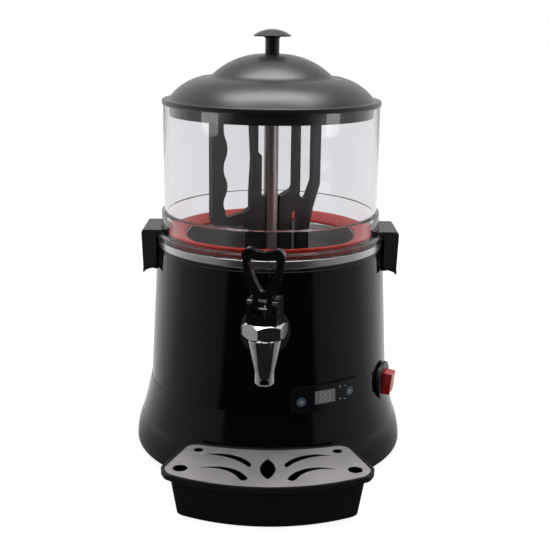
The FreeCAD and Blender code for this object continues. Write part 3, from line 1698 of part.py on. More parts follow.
# Tray guides: two channel rails under the base plate that hold the tray's tongues
def tray_guides():
    gap = seat_gap
    w = guide_rail_wall
    low = tongue_height - gap - w
    high = tongue_height + tongue_thickness + gap
    x0 = tongue_spacing - gap - w
    x1 = tongue_spacing + tongue_width + gap + w
    rail = block(x0, x1, -guide_rail_start, -60.0, low, plate_bottom)
    groove = block(x0 + w, x1 - w, -guide_rail_start - 1, -59.0, low + w, high)
    mouth = block(x0 + w + 2.0, x1 - w - 2.0, -guide_rail_start - 1, -59.0, low - 1, low + w + 1)
    wing = block(x0 - 10.0, x0 + 1, -guide_rail_start, -60.0, plate_bottom - 2.0, plate_bottom)
    shape = joined(rail, wing).cut([groove, mouth])
    holes = [disc(small_screw_radius + screw_gap, 0, 30, x, y) for x, y in rail_screw_spots()]
    shape = shape.cut(holes)
    return both_sides(shape)


save("base_skirt", base_skirt())
save("body_shell", body_shell())
save("base_plate", base_plate())
save("feet", feet())
save("foot_screws", foot_screws())
save("base_screws", base_screws())
save("body_bolts", body_bolts())
save("tank_pot", tank_pot())
save("column_tube", column_tube())
save("column_bushes", column_bushes())
save("water_jacket", water_jacket())
save("heater_element", heater_element())
save("temperature_probe", temperature_probe())
save("overheat_cutout", overheat_cutout())
save("jar", jar())
save("jar_gasket", jar_gasket())
save("lid_cover", lid_cover())
save("lid_knob", lid_knob())
save("knob_screw", knob_screw())
save("agitator", agitator())
save("drive_shaft", drive_shaft())
save("shaft_coupling", shaft_coupling())
save("output_shaft", output_shaft())
save("drive_gear", drive_gear())
save("motor_pinion", motor_pinion())
save("motor_can", motor_can())
save("gearbox_housing", gearbox_housing())
save("gearbox_cover", gearbox_cover())
save("motor_bracket", motor_bracket())
save("drive_screws", drive_screws())
save("tap_nozzle", tap_nozzle())
save("tap_nut", tap_nut())
save("tap_bonnet", tap_bonnet())
save("tap_lever", tap_lever())
save("tap_lever_pin", tap_lever_pin())
save("tap_stem", tap_stem())
save("tap_seat_cup", tap_seat_cup())
save("tap_spring", tap_spring())
save("outlet_tube", outlet_tube())
save("tap_washer", tap_washer())
save("clip_right", clip_right())
save("clip_left", mirrored(clip_right()))
save("clip_brackets", both_sides(clip_bracket()))
save("clip_pins", both_sides(clip_pin()))
save("clip_screws", both_sides(clip_screws_right()))
save("panel_housing", panel_housing())
save("display_window", display_window())
save("button_left", panel_button(left_button_azimuth, left_button_height))
save("button_right", panel_button(right_button_azimuth, right_button_height))
save("indicator_lights", indicator_lights())
save("control_board", control_board())
save("switch_bezel", switch_bezel())
save("switch_rocker", switch_rocker())
save("switch_case", switch_case())
save("cable_gland", cable_gland())
save("gland_nut", gland_nut())
save("drip_tray", drip_tray())
save("tray_grille", tray_grille())
save("tray_guides", tray_guides())
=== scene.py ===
import bpy
import bmesh
import json
import math
import numpy as np
from mathutils import Matrix, Vector


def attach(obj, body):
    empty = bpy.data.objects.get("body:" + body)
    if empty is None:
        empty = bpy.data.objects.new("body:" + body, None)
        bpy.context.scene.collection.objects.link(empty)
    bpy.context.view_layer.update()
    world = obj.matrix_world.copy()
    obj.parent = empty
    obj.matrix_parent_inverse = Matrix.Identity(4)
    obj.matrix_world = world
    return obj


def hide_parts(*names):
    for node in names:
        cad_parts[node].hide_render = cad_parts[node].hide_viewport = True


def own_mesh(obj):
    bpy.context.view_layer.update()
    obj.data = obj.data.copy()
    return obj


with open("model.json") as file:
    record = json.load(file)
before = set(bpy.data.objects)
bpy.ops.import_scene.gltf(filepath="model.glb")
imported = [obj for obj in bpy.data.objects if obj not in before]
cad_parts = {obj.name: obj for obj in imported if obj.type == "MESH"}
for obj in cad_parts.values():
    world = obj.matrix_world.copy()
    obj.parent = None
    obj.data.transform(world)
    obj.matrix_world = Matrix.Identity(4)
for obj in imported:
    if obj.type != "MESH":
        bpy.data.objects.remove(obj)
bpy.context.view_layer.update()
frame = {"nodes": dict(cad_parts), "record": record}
nodes = frame["nodes"]
body_holding = {n: b for b, held in frame["record"]["behaviour"]["bodies"].items() for n in held}

# The studio: a pale floor, a white surround and three soft lamps, with the camera where the
# photograph was taken, a little above the machine and about a metre in front of it.
scene = bpy.context.scene
scene.view_settings.view_transform = "Standard"


def set_camera(place, yaw, dip, roll, lens):
    """Camera at a place, looking along +Y turned by yaw, tipped down by dip and rolled about its axis."""
    ahead = Vector((math.sin(yaw) * math.cos(dip), math.cos(yaw) * math.cos(dip), -math.sin(dip)))
    side = Vector((math.cos(yaw), -math.sin(yaw), 0.0))
    up = side.cross(ahead)
    across = side * math.cos(roll) + up * math.sin(roll)
    over = up * math.cos(roll) - side * math.sin(roll)
    data = bpy.data.cameras.new("camera")
    data.lens = lens
    data.sensor_width = 36.0
    data.clip_start = 0.05
    data.clip_end = 60.0
    camera = bpy.data.objects.new("camera", data)
    scene.collection.objects.link(camera)
    turn = Matrix((across, over, -ahead)).transposed().to_4x4()
    camera.matrix_world = Matrix.Translation(place) @ turn
    scene.camera = camera


set_camera((0.0, -1.0363, 0.4753), 0.0056, 0.2656, 0.0124, 62.6)


def soft_lamp(name, place, target, width, height, power):
    """Rectangular soft lamp that faces a target point."""
    data = bpy.data.lights.new(name, "AREA")
    data.shape = "RECTANGLE"
    data.size = width
    data.size_y = height
    data.energy = power
    lamp = bpy.data.objects.new(name, data)
    scene.collection.objects.link(lamp)
    lamp.location = place
    lamp.rotation_euler = (Vector(target) - Vector(place)).to_track_quat("-Z", "Y").to_euler()
    return lamp


for lamp in (
    soft_lamp("lamp_left", (-1.7, -0.75, 0.75), (0, 0, 0.22), 0.75, 1.5, 14.0),
    soft_lamp("lamp_right", (1.7, -0.75, 0.75), (0, 0, 0.22), 0.6, 1.5, 12.0),
):
    lamp.visible_glossy = False
soft_lamp("lamp_top", (0.0, 0.0, 1.9), (0, 0, 0.3), 1.7, 0.7, 24.0)

# The room as gloss shows it: dark straight in front, grey to the sides and bright behind, from
# how far back a direction points (0 is straight in front, 1 straight behind).
room_levels = ((0.0, 0.012), (0.105, 0.012), (0.13, 0.15), (0.5, 0.33), (0.62, 0.55), (0.8, 0.9))


def room_ramp(tree, source):
    """Grey level of the room for a vector socket, from its share along Y of its level length."""
    flat = tree.nodes.new("ShaderNodeVectorMath")
    flat.operation = "MULTIPLY"
    flat.inputs[1].default_value = (1, 1, 0)
    unit = tree.nodes.new("ShaderNodeVectorMath")
    unit.operation = "NORMALIZE"
    part = tree.nodes.new("ShaderNodeSeparateXYZ")
    share = tree.nodes.new("ShaderNodeMapRange")
    share.inputs["From Min"].default_value = -1.0
    ramp = tree.nodes.new("ShaderNodeValToRGB")
    while len(ramp.color_ramp.elements) < len(room_levels):
        ramp.color_ramp.elements.new(0.5)
    for stop, (place, level) in zip(ramp.color_ramp.elements, room_levels):
        stop.position = place
        stop.color = (level, level, level, 1)
    tree.links.new(source, flat.inputs[0])
    tree.links.new(flat.outputs[0], unit.inputs[0])
    tree.links.new(unit.outputs[0], part.inputs[0])
    tree.links.new(part.outputs["Y"], share.inputs["Value"])
    tree.links.new(share.outputs["Result"], ramp.inputs[0])
    return ramp.outputs["Color"]


def seen_straight(tree):
    """One for a camera ray, or for a ray that has come through the clear jar without a reflection."""
    path = tree.nodes.new("ShaderNodeLightPath")
    turns = tree.nodes.new("ShaderNodeMath")
    turns.operation = "ADD"
    through = tree.nodes.new("ShaderNodeMath")
    through.operation = "SUBTRACT"
    through.use_clamp = True
    either = tree.nodes.new("ShaderNodeMath")
    either.operation = "MAXIMUM"
    tree.links.new(path.outputs["Glossy Depth"], turns.inputs[0])
    tree.links.new(path.outputs["Diffuse Depth"], turns.inputs[1])
    tree.links.new(path.outputs["Is Transmission Ray"], through.inputs[0])
    tree.links.new(turns.outputs[0], through.inputs[1])
    tree.links.new(path.outputs["Is Camera Ray"], either.inputs[0])
    tree.links.new(through.outputs[0], either.inputs[1])
    return either.outputs[0]


world = bpy.data.worlds.new("studio")
scene.world = world
world.use_nodes = True
wt = world.node_tree
wt.nodes.clear()
w_out = wt.nodes.new("ShaderNodeOutputWorld")
w_dir = wt.nodes.new("ShaderNodeTexCoord")
w_mix = wt.nodes.new("ShaderNodeMix")
w_mix.data_type = "FLOAT"
w_bg = wt.nodes.new("ShaderNodeBackground")
wt.links.new(seen_straight(wt), w_mix.inputs["Factor"])
w_part = wt.nodes.new("ShaderNodeSeparateXYZ")
w_rise = wt.nodes.new("ShaderNodeMapRange")
w_rise.inputs["From Min"].default_value = 0.3
w_rise.inputs["From Max"].default_value = 0.7
w_room = wt.nodes.new("ShaderNodeMix")
w_room.data_type = "FLOAT"
w_room.inputs["B"].default_value = 0.62
wt.links.new(w_dir.outputs["Generated"], w_part.inputs[0])
wt.links.new(w_part.outputs["Z"], w_rise.inputs["Value"])
wt.links.new(w_rise.outputs["Result"], w_room.inputs["Factor"])
wt.links.new(room_ramp(wt, w_dir.outputs["Generated"]), w_room.inputs["A"])
wt.links.new(w_room.outputs["Result"], w_mix.inputs["A"])
w_mix.inputs["B"].default_value = 1.0
wt.links.new(w_mix.outputs["Result"], w_bg.inputs["Strength"])
w_bg.inputs["Color"].default_value = (1, 1, 1, 1)
wt.links.new(w_bg.outputs[0], w_out.inputs[0])


def floor_material():
    """Matt floor that is white to the eye with a soft shadow, and that gloss shows as part of the room."""
    mat = bpy.data.materials.new("studio_floor")
    mat.use_nodes = True
    tree = mat.node_tree
    tree.nodes.clear()
    out = tree.nodes.new("ShaderNodeOutputMaterial")
    matt = tree.nodes.new("ShaderNodeBsdfDiffuse")
    matt.inputs["Color"].default_value = (0.3, 0.3, 0.3, 1)
    glow = tree.nodes.new("ShaderNodeEmission")
    scale = tree.nodes.new("ShaderNodeMath")
    scale.operation = "MULTIPLY"
    scale.inputs[1].default_value = 0.86
    total = tree.nodes.new("ShaderNodeAddShader")
    where = tree.nodes.new("ShaderNodeTexCoord")
    room = tree.nodes.new("ShaderNodeEmission")
    path = tree.nodes.new("ShaderNodeLightPath")
    choice = tree.nodes.new("ShaderNodeMixShader")
    tree.links.new(seen_straight(tree), scale.inputs[0])
    tree.links.new(scale.outputs[0], glow.inputs["Strength"])
    tree.links.new(matt.outputs[0], total.inputs[0])
    tree.links.new(glow.outputs[0], total.inputs[1])
    tree.links.new(room_ramp(tree, where.outputs["Object"]), room.inputs["Color"])
    share = tree.nodes.new("ShaderNodeMath")
    share.operation = "SUBTRACT"
    share.use_clamp = True
    tree.links.new(path.outputs["Is Glossy Ray"], share.inputs[0])
    tree.links.new(seen_straight(tree), share.inputs[1])
    tree.links.new(share.outputs[0], choice.inputs[0])
    tree.links.new(total.outputs[0], choice.inputs[1])
    tree.links.new(room.outputs[0], choice.inputs[2])
    tree.links.new(choice.outputs[0], out.inputs["Surface"])
    return mat


floor_mesh = bpy.data.meshes.new("studio_floor")
floor_mesh.from_pydata([(-15, -15, 0), (15, -15, 0), (15, 15, 0), (-15, 15, 0)], [], [(0, 1, 2, 3)])
floor_mesh.materials.append(floor_material())
floor = bpy.data.objects.new("studio_floor", floor_mesh)
scene.collection.objects.link(floor)

# Base skirt: a glossy black moulding that flares to the rim. It is a turned shape, and its
# finish has the faint waviness and dust of a wiped plastic housing.


def grain_group():
    """Node group: fine and broad noise on Object coordinates, as a tint, a roughness and a height."""
    group = bpy.data.node_groups.new("surface_grain", "ShaderNodeTree")
    for name, kind in (
        ("Fine Scale", "NodeSocketFloat"), ("Stretch", "NodeSocketVector"), ("Tint", "NodeSocketColor"),
        ("Tint Change", "NodeSocketFloat"), ("Roughness", "NodeSocketFloat"),
        ("Roughness Change", "NodeSocketFloat"),
    ):
        group.interface.new_socket(name, in_out="INPUT", socket_type=kind)
    for name, kind in (
        ("Color", "NodeSocketColor"), ("Roughness", "NodeSocketFloat"), ("Height", "NodeSocketFloat"),
    ):
        group.interface.new_socket(name, in_out="OUTPUT", socket_type=kind)
    tree = group
    put = tree.nodes.new("NodeGroupInput")
    out = tree.nodes.new("NodeGroupOutput")
    where = tree.nodes.new("ShaderNodeTexCoord")
    stretch = tree.nodes.new("ShaderNodeVectorMath")
    stretch.operation = "MULTIPLY"
    fine = tree.nodes.new("ShaderNodeTexNoise")
    broad = tree.nodes.new("ShaderNodeTexNoise")
    broad.inputs["Scale"].default_value = 14.0
    broad.inputs["Detail"].default_value = 4.0
    tree.links.new(where.outputs["Object"], stretch.inputs[0])
    tree.links.new(put.outputs["Stretch"], stretch.inputs[1])
    tree.links.new(stretch.outputs[0], fine.inputs["Vector"])
    tree.links.new(put.outputs["Fine Scale"], fine.inputs["Scale"])
    tree.links.new(where.outputs["Object"], broad.inputs["Vector"])
    both = tree.nodes.new("ShaderNodeMath")
    both.operation = "ADD"
    tree.links.new(fine.outputs["Fac"], both.inputs[0])
    tree.links.new(broad.outputs["Fac"], both.inputs[1])
    level = tree.nodes.new("ShaderNodeMath")
    level.operation = "SUBTRACT"
    tree.links.new(both.outputs[0], level.inputs[0])
    level.inputs[1].default_value = 1.0
    gain = tree.nodes.new("ShaderNodeMath")
    gain.operation = "MULTIPLY_ADD"
    gain.inputs[2].default_value = 1.0
    tree.links.new(level.outputs[0], gain.inputs[0])
    tree.links.new(put.outputs["Tint Change"], gain.inputs[1])
    shade = tree.nodes.new("ShaderNodeVectorMath")
    shade.operation = "SCALE"
    tree.links.new(put.outputs["Tint"], shade.inputs[0])
    tree.links.new(gain.outputs[0], shade.inputs["Scale"])
    tree.links.new(shade.outputs[0], out.inputs["Color"])
    rough = tree.nodes.new("ShaderNodeMath")
    rough.operation = "MULTIPLY_ADD"
    tree.links.new(level.outputs[0], rough.inputs[0])
    tree.links.new(put.outputs["Roughness Change"], rough.inputs[1])
    tree.links.new(put.outputs["Roughness"], rough.inputs[2])
    tree.links.new(rough.outputs[0], out.inputs["Roughness"])
    tree.links.new(fine.outputs["Fac"], out.inputs["Height"])
    return group


surface_grain = grain_group()


def finish(name, tint, rough, metal=0.0, fine=900.0, stretch=(1, 1, 1), tint_change=0.25, rough_change=0.04,
           bump=0.02, depth=0.0004, coat=0.0):
    """Principled material whose colour, roughness and bump come from the surface grain."""
    mat = bpy.data.materials.new(name)
    mat.use_nodes = True
    tree = mat.node_tree
    shader = tree.nodes["Principled BSDF"]
    grain = tree.nodes.new("ShaderNodeGroup")
    grain.node_tree = surface_grain
    grain.inputs["Fine Scale"].default_value = fine
    grain.inputs["Stretch"].default_value = stretch
    grain.inputs["Tint"].default_value = (*tint, 1)
    grain.inputs["Tint Change"].default_value = tint_change
    grain.inputs["Roughness"].default_value = rough
    grain.inputs["Roughness Change"].default_value = rough_change
    ridge = tree.nodes.new("ShaderNodeBump")
    ridge.inputs["Strength"].default_value = bump
    ridge.inputs["Distance"].default_value = depth
    tree.links.new(grain.outputs["Color"], shader.inputs["Base Color"])
    tree.links.new(grain.outputs["Roughness"], shader.inputs["Roughness"])
    tree.links.new(grain.outputs["Height"], ridge.inputs["Height"])
    tree.links.new(ridge.outputs[0], shader.inputs["Normal"])
    shader.inputs["Metallic"].default_value = metal
    shader.inputs["Coat Weight"].default_value = coat
    shader.inputs["Coat Roughness"].default_value = 0.05
    return mat


def arc_points(start, middle, end, steps=14):
    """Points on the circle through three points, after the start and up to the end."""
    a, b, c = (np.array(p, float) for p in (start, middle, end))
    chord = 2 * np.cross(b - a, c - a)
    if abs(chord) < 1e-9:
        return [tuple(c)]
    ab, ac = b - a, c - a
    centre = a + np.array([
        ac[1] * ab.dot(ab) - ab[1] * ac.dot(ac), ab[0] * ac.dot(ac) - ac[0] * ab.dot(ab)
    ]) / chord
    radius = np.linalg.norm(a - centre)
    angle = [math.atan2(*(p - centre)[::-1]) for p in (a, b, c)]
    sweep = (angle[2] - angle[0]) % (2 * math.pi)
    if (angle[1] - angle[0]) % (2 * math.pi) > sweep:
        sweep -= 2 * math.pi
    turn = angle[0] + sweep * np.arange(1, steps + 1) / steps
    return [tuple(centre + radius * np.array([math.cos(t), math.sin(t)])) for t in turn]


def outline(path):
    """Points of a millimetre path: two numbers are a corner, two pairs are an arc's middle and end."""
    points = [path[0]]
    for step in path[1:]:
        if isinstance(step[0], tuple):
            points += arc_points(points[-1], step[0], step[1])
        else:
            points.append(step)
    return np.array(points, float) / 1000.0


def close_mesh(name, verts, faces, mat, sharp=32.0):
    """Object at the origin from points and faces, merged, facing outwards, smooth between sharp edges."""
    mesh = bpy.data.meshes.new(name)
    mesh.from_pydata(verts.tolist(), [], faces.tolist())
    work = bmesh.new()
    work.from_mesh(mesh)
    bmesh.ops.remove_doubles(work, verts=work.verts, dist=1e-6)
    bmesh.ops.dissolve_degenerate(work, edges=work.edges, dist=1e-6)
    bmesh.ops.recalc_face_normals(work, faces=work.faces)
    work.to_mesh(mesh)
    work.free()
    mesh.polygons.foreach_set("use_smooth", np.ones(len(mesh.polygons), bool))
    mesh.set_sharp_from_angle(angle=math.radians(sharp))
    mesh.materials.append(mat)
    obj = bpy.data.objects.new(name, mesh)
    scene.collection.objects.link(obj)
    return obj


def turned_piece(name, path, mat, around=192):
    """Closed outline (radius, height) carried round the upright axis: x = r sin a, y = -r cos a, z = h."""
    loop = outline(path)
    angle = 2 * np.pi * np.arange(around) / around
    count = len(loop)
    verts = np.stack([
        np.outer(np.sin(angle), loop[:, 0]), -np.outer(np.cos(angle), loop[:, 0]),
        np.broadcast_to(loop[:, 1], (around, count)),
    ], axis=-1).reshape(-1, 3)
    i, j = np.meshgrid(np.arange(around), np.arange(count), indexing="ij")
    k, m = (i + 1) % around, (j + 1) % count
    faces = np.stack([i * count + j, k * count + j, k * count + m, i * count + m], axis=-1).reshape(-1, 4)
    return close_mesh(name, verts, faces, mat)


def fit(obj, node, *more):
    """The piece rides on its node's body and stands for the node."""
    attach(obj, body_holding[node])
    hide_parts(node, *more)
    return obj


def smoothed(node, mat, name=None, edge=0.0, sharp=32.0):
    """Merged copy of a CAD node with smooth curved faces and, where edge is given, softened edges."""
    source = nodes[node].data
    verts = np.empty(len(source.vertices) * 3)
    source.vertices.foreach_get("co", verts)
    faces = np.empty(len(source.loops), int)
    source.loops.foreach_get("vertex_index", faces)
    obj = close_mesh(name or node + "_made", verts.reshape(-1, 3), faces.reshape(-1, 3), mat, sharp)
    if edge:
        bevel = obj.modifiers.new("edge", "BEVEL")
        bevel.width = edge
        bevel.segments = 2
        bevel.limit_method = "ANGLE"
        bevel.angle_limit = math.radians(sharp)
        bevel.harden_normals = True
    return fit(obj, node)


gloss_black = finish("gloss_black_housing", (0.0018, 0.0016, 0.002), 0.07, fine=1500, bump=0.01,
                     tint_change=0.4)
skirt_path = [
    (131.8, 7.5), (149.3, 7.5), ((150.4, 8.0), (150.8, 9.3)), (150.8, 12.0),
    ((148.93, 25.4), (143.6, 42.0)), ((138.3, 62.5), (133.6, 83.0)),
    (122.2, 83.0), (122.2, 80.0), (131.4, 80.0), (135.3, 62.5), (140.6, 42.0),
    ((145.93, 25.4), (147.8, 12.5)), (131.8, 12.5),
]
fit(turned_piece("skirt_moulding", skirt_path, gloss_black, 256), "base_skirt")

# Housing wall: a rolled steel cone in gloss black enamel, with a pressed groove under the
# bright ring. The panel, switch, tap and clip brackets are fixed through it.
enamel = finish("black_enamel", (0.0016, 0.0013, 0.0017), 0.06, fine=700, bump=0.012, tint_change=0.4)
wall_path = [
    (133.2, 83.0), (124.66, 229.1), (124.03, 229.9), (123.98, 230.6), (124.5, 231.3),
    ((124.3, 232.9), (123.5, 233.5)), (112.4, 233.5), (112.4, 231.9), (122.0, 231.9),
    (131.6, 84.6), (122.2, 84.6), (122.2, 83.0),
]
fit(turned_piece("housing_wall", wall_path, enamel, 256), "body_shell")

# Base plate, feet, rails and fixings: zinc plated steel and moulded rubber under the machine.
zinc = finish("zinc_plate", (0.42, 0.42, 0.43), 0.38, 1.0, fine=600, tint_change=0.3, rough_change=0.2)
foot_rubber = finish("foot_rubber", (0.02, 0.02, 0.02), 0.75, fine=1800, bump=0.25)
satin_black = finish("satin_black_moulding", (0.006, 0.006, 0.0065), 0.36, fine=2600, bump=0.1,
                     tint_change=0.3)
smoothed("base_plate", zinc)
smoothed("feet", foot_rubber)
smoothed("tray_guides", satin_black)
for node in ("foot_screws", "base_screws", "body_bolts"):
    smoothed(node, zinc)

# Tank: a drawn stainless pot. Its flange turns down into the bright ring under the jar, which
# is brushed round the axis, and the column in its middle carries the agitator's shaft.


def brushed_round(name, tint, rough, rings=5200.0, change=0.12, metal=1.0):
    """Brushed finish whose fine lines run round the upright axis: noise on height and radius only."""
    mat = bpy.data.materials.new(name)
    mat.use_nodes = True
    tree = mat.node_tree
    shader = tree.nodes["Principled BSDF"]
    where = tree.nodes.new("ShaderNodeTexCoord")
    part = tree.nodes.new("ShaderNodeSeparateXYZ")
    length = tree.nodes.new("ShaderNodeVectorMath")
    length.operation = "LENGTH"
    flat = tree.nodes.new("ShaderNodeVectorMath")
    flat.operation = "MULTIPLY"
    flat.inputs[1].default_value = (1, 1, 0)
    both = tree.nodes.new("ShaderNodeCombineXYZ")
    lines = tree.nodes.new("ShaderNodeTexNoise")
    lines.inputs["Scale"].default_value = rings
    lines.inputs["Detail"].default_value = 3.0
    patch = tree.nodes.new("ShaderNodeTexNoise")
    patch.inputs["Scale"].default_value = 25.0
    tree.links.new(where.outputs["Object"], flat.inputs[0])
    tree.links.new(flat.outputs[0], length.inputs[0])
    tree.links.new(where.outputs["Object"], part.inputs[0])
    tree.links.new(length.outputs["Value"], both.inputs[0])
    tree.links.new(part.outputs["Z"], both.inputs[2])
    tree.links.new(both.outputs[0], lines.inputs["Vector"])
    tree.links.new(where.outputs["Object"], patch.inputs["Vector"])
    rough_level = tree.nodes.new("ShaderNodeMapRange")
    rough_level.inputs["To Min"].default_value = rough - change
    rough_level.inputs["To Max"].default_value = rough + change
    tree.links.new(lines.outputs["Fac"], rough_level.inputs["Value"])
    tree.links.new(rough_level.outputs[0], shader.inputs["Roughness"])
    shade = tree.nodes.new("ShaderNodeMix")
    shade.data_type = "RGBA"
    shade.inputs["A"].default_value = (*[0.86 * c for c in tint], 1)
    shade.inputs["B"].default_value = (*tint, 1)
    tree.links.new(patch.outputs["Fac"], shade.inputs["Factor"])
    tree.links.new(shade.outputs["Result"], shader.inputs["Base Color"])
    ridge = tree.nodes.new("ShaderNodeBump")
    ridge.inputs["Strength"].default_value = 0.05
    ridge.inputs["Distance"].default_value = 0.0001
    tree.links.new(lines.outputs["Fac"], ridge.inputs["Height"])
    tree.links.new(ridge.outputs[0], shader.inputs["Normal"])
    shader.inputs["Metallic"].default_value = metal
    return mat


stainless = brushed_round("stainless_round", (0.80, 0.79, 0.79), 0.3)
pot_path = [
    (7.82, 156.5), (90.5, 156.5), ((93.3, 157.7), (94.5, 160.5)), (94.5, 239.5), (122.2, 239.5),
    (122.2, 233.5), (123.7, 233.5), (123.7, 239.8), ((123.35, 240.65), (122.5, 241.0)), (94.0, 241.0),
    ((93.3, 240.7), (93.0, 240.0)), (93.0, 160.5), ((92.3, 158.7), (90.5, 158.0)), (7.82, 158.0),
]
fit(turned_piece("tank_and_ring", pot_path, stainless), "tank_pot")
column_steel = brushed_round("column_steel", (0.50, 0.46, 0.43), 0.42)
for node in ("column_tube", "water_jacket", "drive_shaft"):
    smoothed(node, column_steel)

# Jar: a clear moulded tube with a heavier band and a foot flange. It has a faint grey lavender
# tint, and light passes through it to what is inside.
jar_path = [
    (112.4, 241.0), (123.9, 241.0), ((124.5, 241.2), (124.7, 241.8)), (124.7, 245.3),
    ((124.35, 246.15), (123.5, 246.5)), (120.7, 246.5), ((119.6, 246.9), (119.2, 248.0)),
    (119.2, 268.4), ((118.7, 269.5), (117.6, 270.0)), (116.8, 270.0), ((116.2, 270.2), (116.0, 270.8)),
    (116.0, 383.2), ((115.75, 383.75), (115.2, 384.0)), (112.4, 384.0),
]


def clear_moulding():
    """Clear plastic: tinted by faint noise, smooth, and open to light that would cast a shadow."""
    mat = bpy.data.materials.new("clear_moulding")
    mat.use_nodes = True
    tree = mat.node_tree
    shader = tree.nodes["Principled BSDF"]
    out = tree.nodes["Material Output"]
    where = tree.nodes.new("ShaderNodeTexCoord")
    cloud = tree.nodes.new("ShaderNodeTexNoise")
    cloud.inputs["Scale"].default_value = 30.0
    shade = tree.nodes.new("ShaderNodeMix")
    shade.data_type = "RGBA"
    shade.inputs["A"].default_value = (0.835, 0.83, 0.85, 1)
    shade.inputs["B"].default_value = (0.875, 0.87, 0.885, 1)
    tree.links.new(where.outputs["Object"], cloud.inputs["Vector"])
    tree.links.new(cloud.outputs["Fac"], shade.inputs["Factor"])
    tree.links.new(shade.outputs["Result"], shader.inputs["Base Color"])
    level = tree.nodes.new("ShaderNodeMapRange")
    level.inputs["To Min"].default_value = 0.0
    level.inputs["To Max"].default_value = 0.03
    tree.links.new(cloud.outputs["Fac"], level.inputs["Value"])
    tree.links.new(level.outputs[0], shader.inputs["Roughness"])
    shader.inputs["Transmission Weight"].default_value = 1.0
    shader.inputs["IOR"].default_value = 1.49
    path = tree.nodes.new("ShaderNodeLightPath")
    either = tree.nodes.new("ShaderNodeMath")
    either.operation = "MAXIMUM"
    open_to_light = tree.nodes.new("ShaderNodeBsdfTransparent")
    mix = tree.nodes.new("ShaderNodeMixShader")
    tree.links.new(path.outputs["Is Shadow Ray"], either.inputs[0])
    tree.links.new(path.outputs["Is Diffuse Ray"], either.inputs[1])
    tree.links.new(either.outputs[0], mix.inputs[0])
    tree.links.new(shader.outputs[0], mix.inputs[1])
    tree.links.new(open_to_light.outputs[0], mix.inputs[2])
    tree.links.new(mix.outputs[0], out.inputs["Surface"])
    return mat


fit(turned_piece("clear_jar", jar_path, clear_moulding(), 256), "jar")

# Seal: a red silicone lip that lies on the tank's flange and slopes up to the jar's inner wall.
silicone_red = finish("red_silicone", (0.58, 0.028, 0.014), 0.38, fine=700, tint_change=0.15, bump=0.04)
seal_path = [
    (93.6, 241.0), (99.6, 241.0), (110.6, 248.2), (112.1, 249.1), (112.1, 249.7),
    ((111.8, 250.3), (111.1, 250.5)), (110.2, 250.5), (93.6, 243.6),
]
fit(turned_piece("silicone_seal", seal_path, silicone_red), "jar_gasket")

# Lid: a black moulding of two stepped domes on a flat rim, with a fine matt texture, and a
# mushroom knob held by a screw from inside.
lid_texture = finish("lid_texture", (0.008, 0.0078, 0.009), 0.33, fine=3000, bump=0.16, depth=0.0003,
                     rough_change=0.06)
lid_path = [
    (110.0, 384.0), (117.0, 384.0), (117.0, 387.0), ((116.5, 388.3), (115.3, 388.8)), (109.6, 389.4),
    ((98.2, 400.9), (76.0, 411.4)), ((74.0, 410.5), (71.6, 410.6)), (65.6, 411.9),
    ((49.4, 424.5), (14.0, 435.6)), (7.6, 436.0), (2.1, 436.0), (2.1, 433.0), (7.6, 433.0), (14.0, 432.4),
    ((48.0, 421.7), (64.4, 408.9)), (75.0, 408.1), ((96.0, 398.6), (107.5, 387.2)),
    (107.5, 372.0), (110.0, 372.0),
]
lid_texture.node_tree.nodes["Principled BSDF"].inputs["Specular IOR Level"].default_value = 0.8
fit(turned_piece("lid_moulding", lid_path, lid_texture, 256), "lid_cover")
knob_path = [
    (0.0, 436.0), (7.6, 436.0), (7.6, 450.4), ((8.5, 452.5), (10.6, 453.4)), (19.0, 453.4),
    ((19.9, 454.3), (19.0, 455.2)), ((9.8, 459.6), (0.0, 461.0)),
]
fit(turned_piece("knob_moulding", knob_path, lid_texture, 128), "lid_knob")
smoothed("knob_screw", zinc)

# Agitator: a flat black moulding with rounded edges that turns on the drive shaft in the jar.
smoothed("agitator", satin_black, edge=0.0007)

# Drive and heating, hidden in the base: motor, gears, bracket, heater and their fixings.
nylon = finish("white_nylon", (0.62, 0.61, 0.57), 0.5, fine=900, bump=0.05)
cast_alloy = finish("cast_alloy", (0.48, 0.48, 0.49), 0.45, 1.0, fine=500, bump=0.15, rough_change=0.2)
turned_brass = finish("turned_brass", (0.62, 0.44, 0.17), 0.3, 1.0, fine=900, rough_change=0.15)
for node, mat in (
    ("shaft_coupling", turned_brass), ("output_shaft", zinc), ("motor_pinion", zinc), ("motor_can", zinc),
    ("motor_bracket", zinc), ("drive_screws", zinc), ("heater_element", zinc), ("temperature_probe", zinc),
    ("gearbox_housing", cast_alloy), ("gearbox_cover", cast_alloy), ("drive_gear", nylon),
    ("column_bushes", nylon), ("overheat_cutout", nylon),
):
    smoothed(node, mat)

# Tap: a plated brass nozzle and nut, a black bonnet and a lever in the shape of a shield.
# The stem's bright head shows between the lever's arms.
plated = finish("bright_plate", (0.82, 0.82, 0.84), 0.09, 1.0, fine=260, tint_change=0.12,
                rough_change=0.05, bump=0.015)
tap_black = finish("tap_black", (0.004, 0.004, 0.005), 0.16, fine=1400, bump=0.03, tint_change=0.3)
washer_rubber = finish("washer_rubber", (0.012, 0.012, 0.013), 0.5, fine=1500, bump=0.1)
smoothed("tap_nozzle", plated, edge=0.0003)
smoothed("tap_nut", plated, edge=0.0004)
smoothed("tap_bonnet", tap_black, edge=0.0006)
smoothed("tap_lever", tap_black, edge=0.0018)
smoothed("tap_lever_pin", plated)
smoothed("tap_stem", plated, edge=0.0003)
spring = smoothed("tap_spring", zinc)
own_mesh(spring)
smoothed("tap_seat_cup", nylon)
smoothed("outlet_tube", stainless)
smoothed("tap_washer", washer_rubber, edge=0.0008)

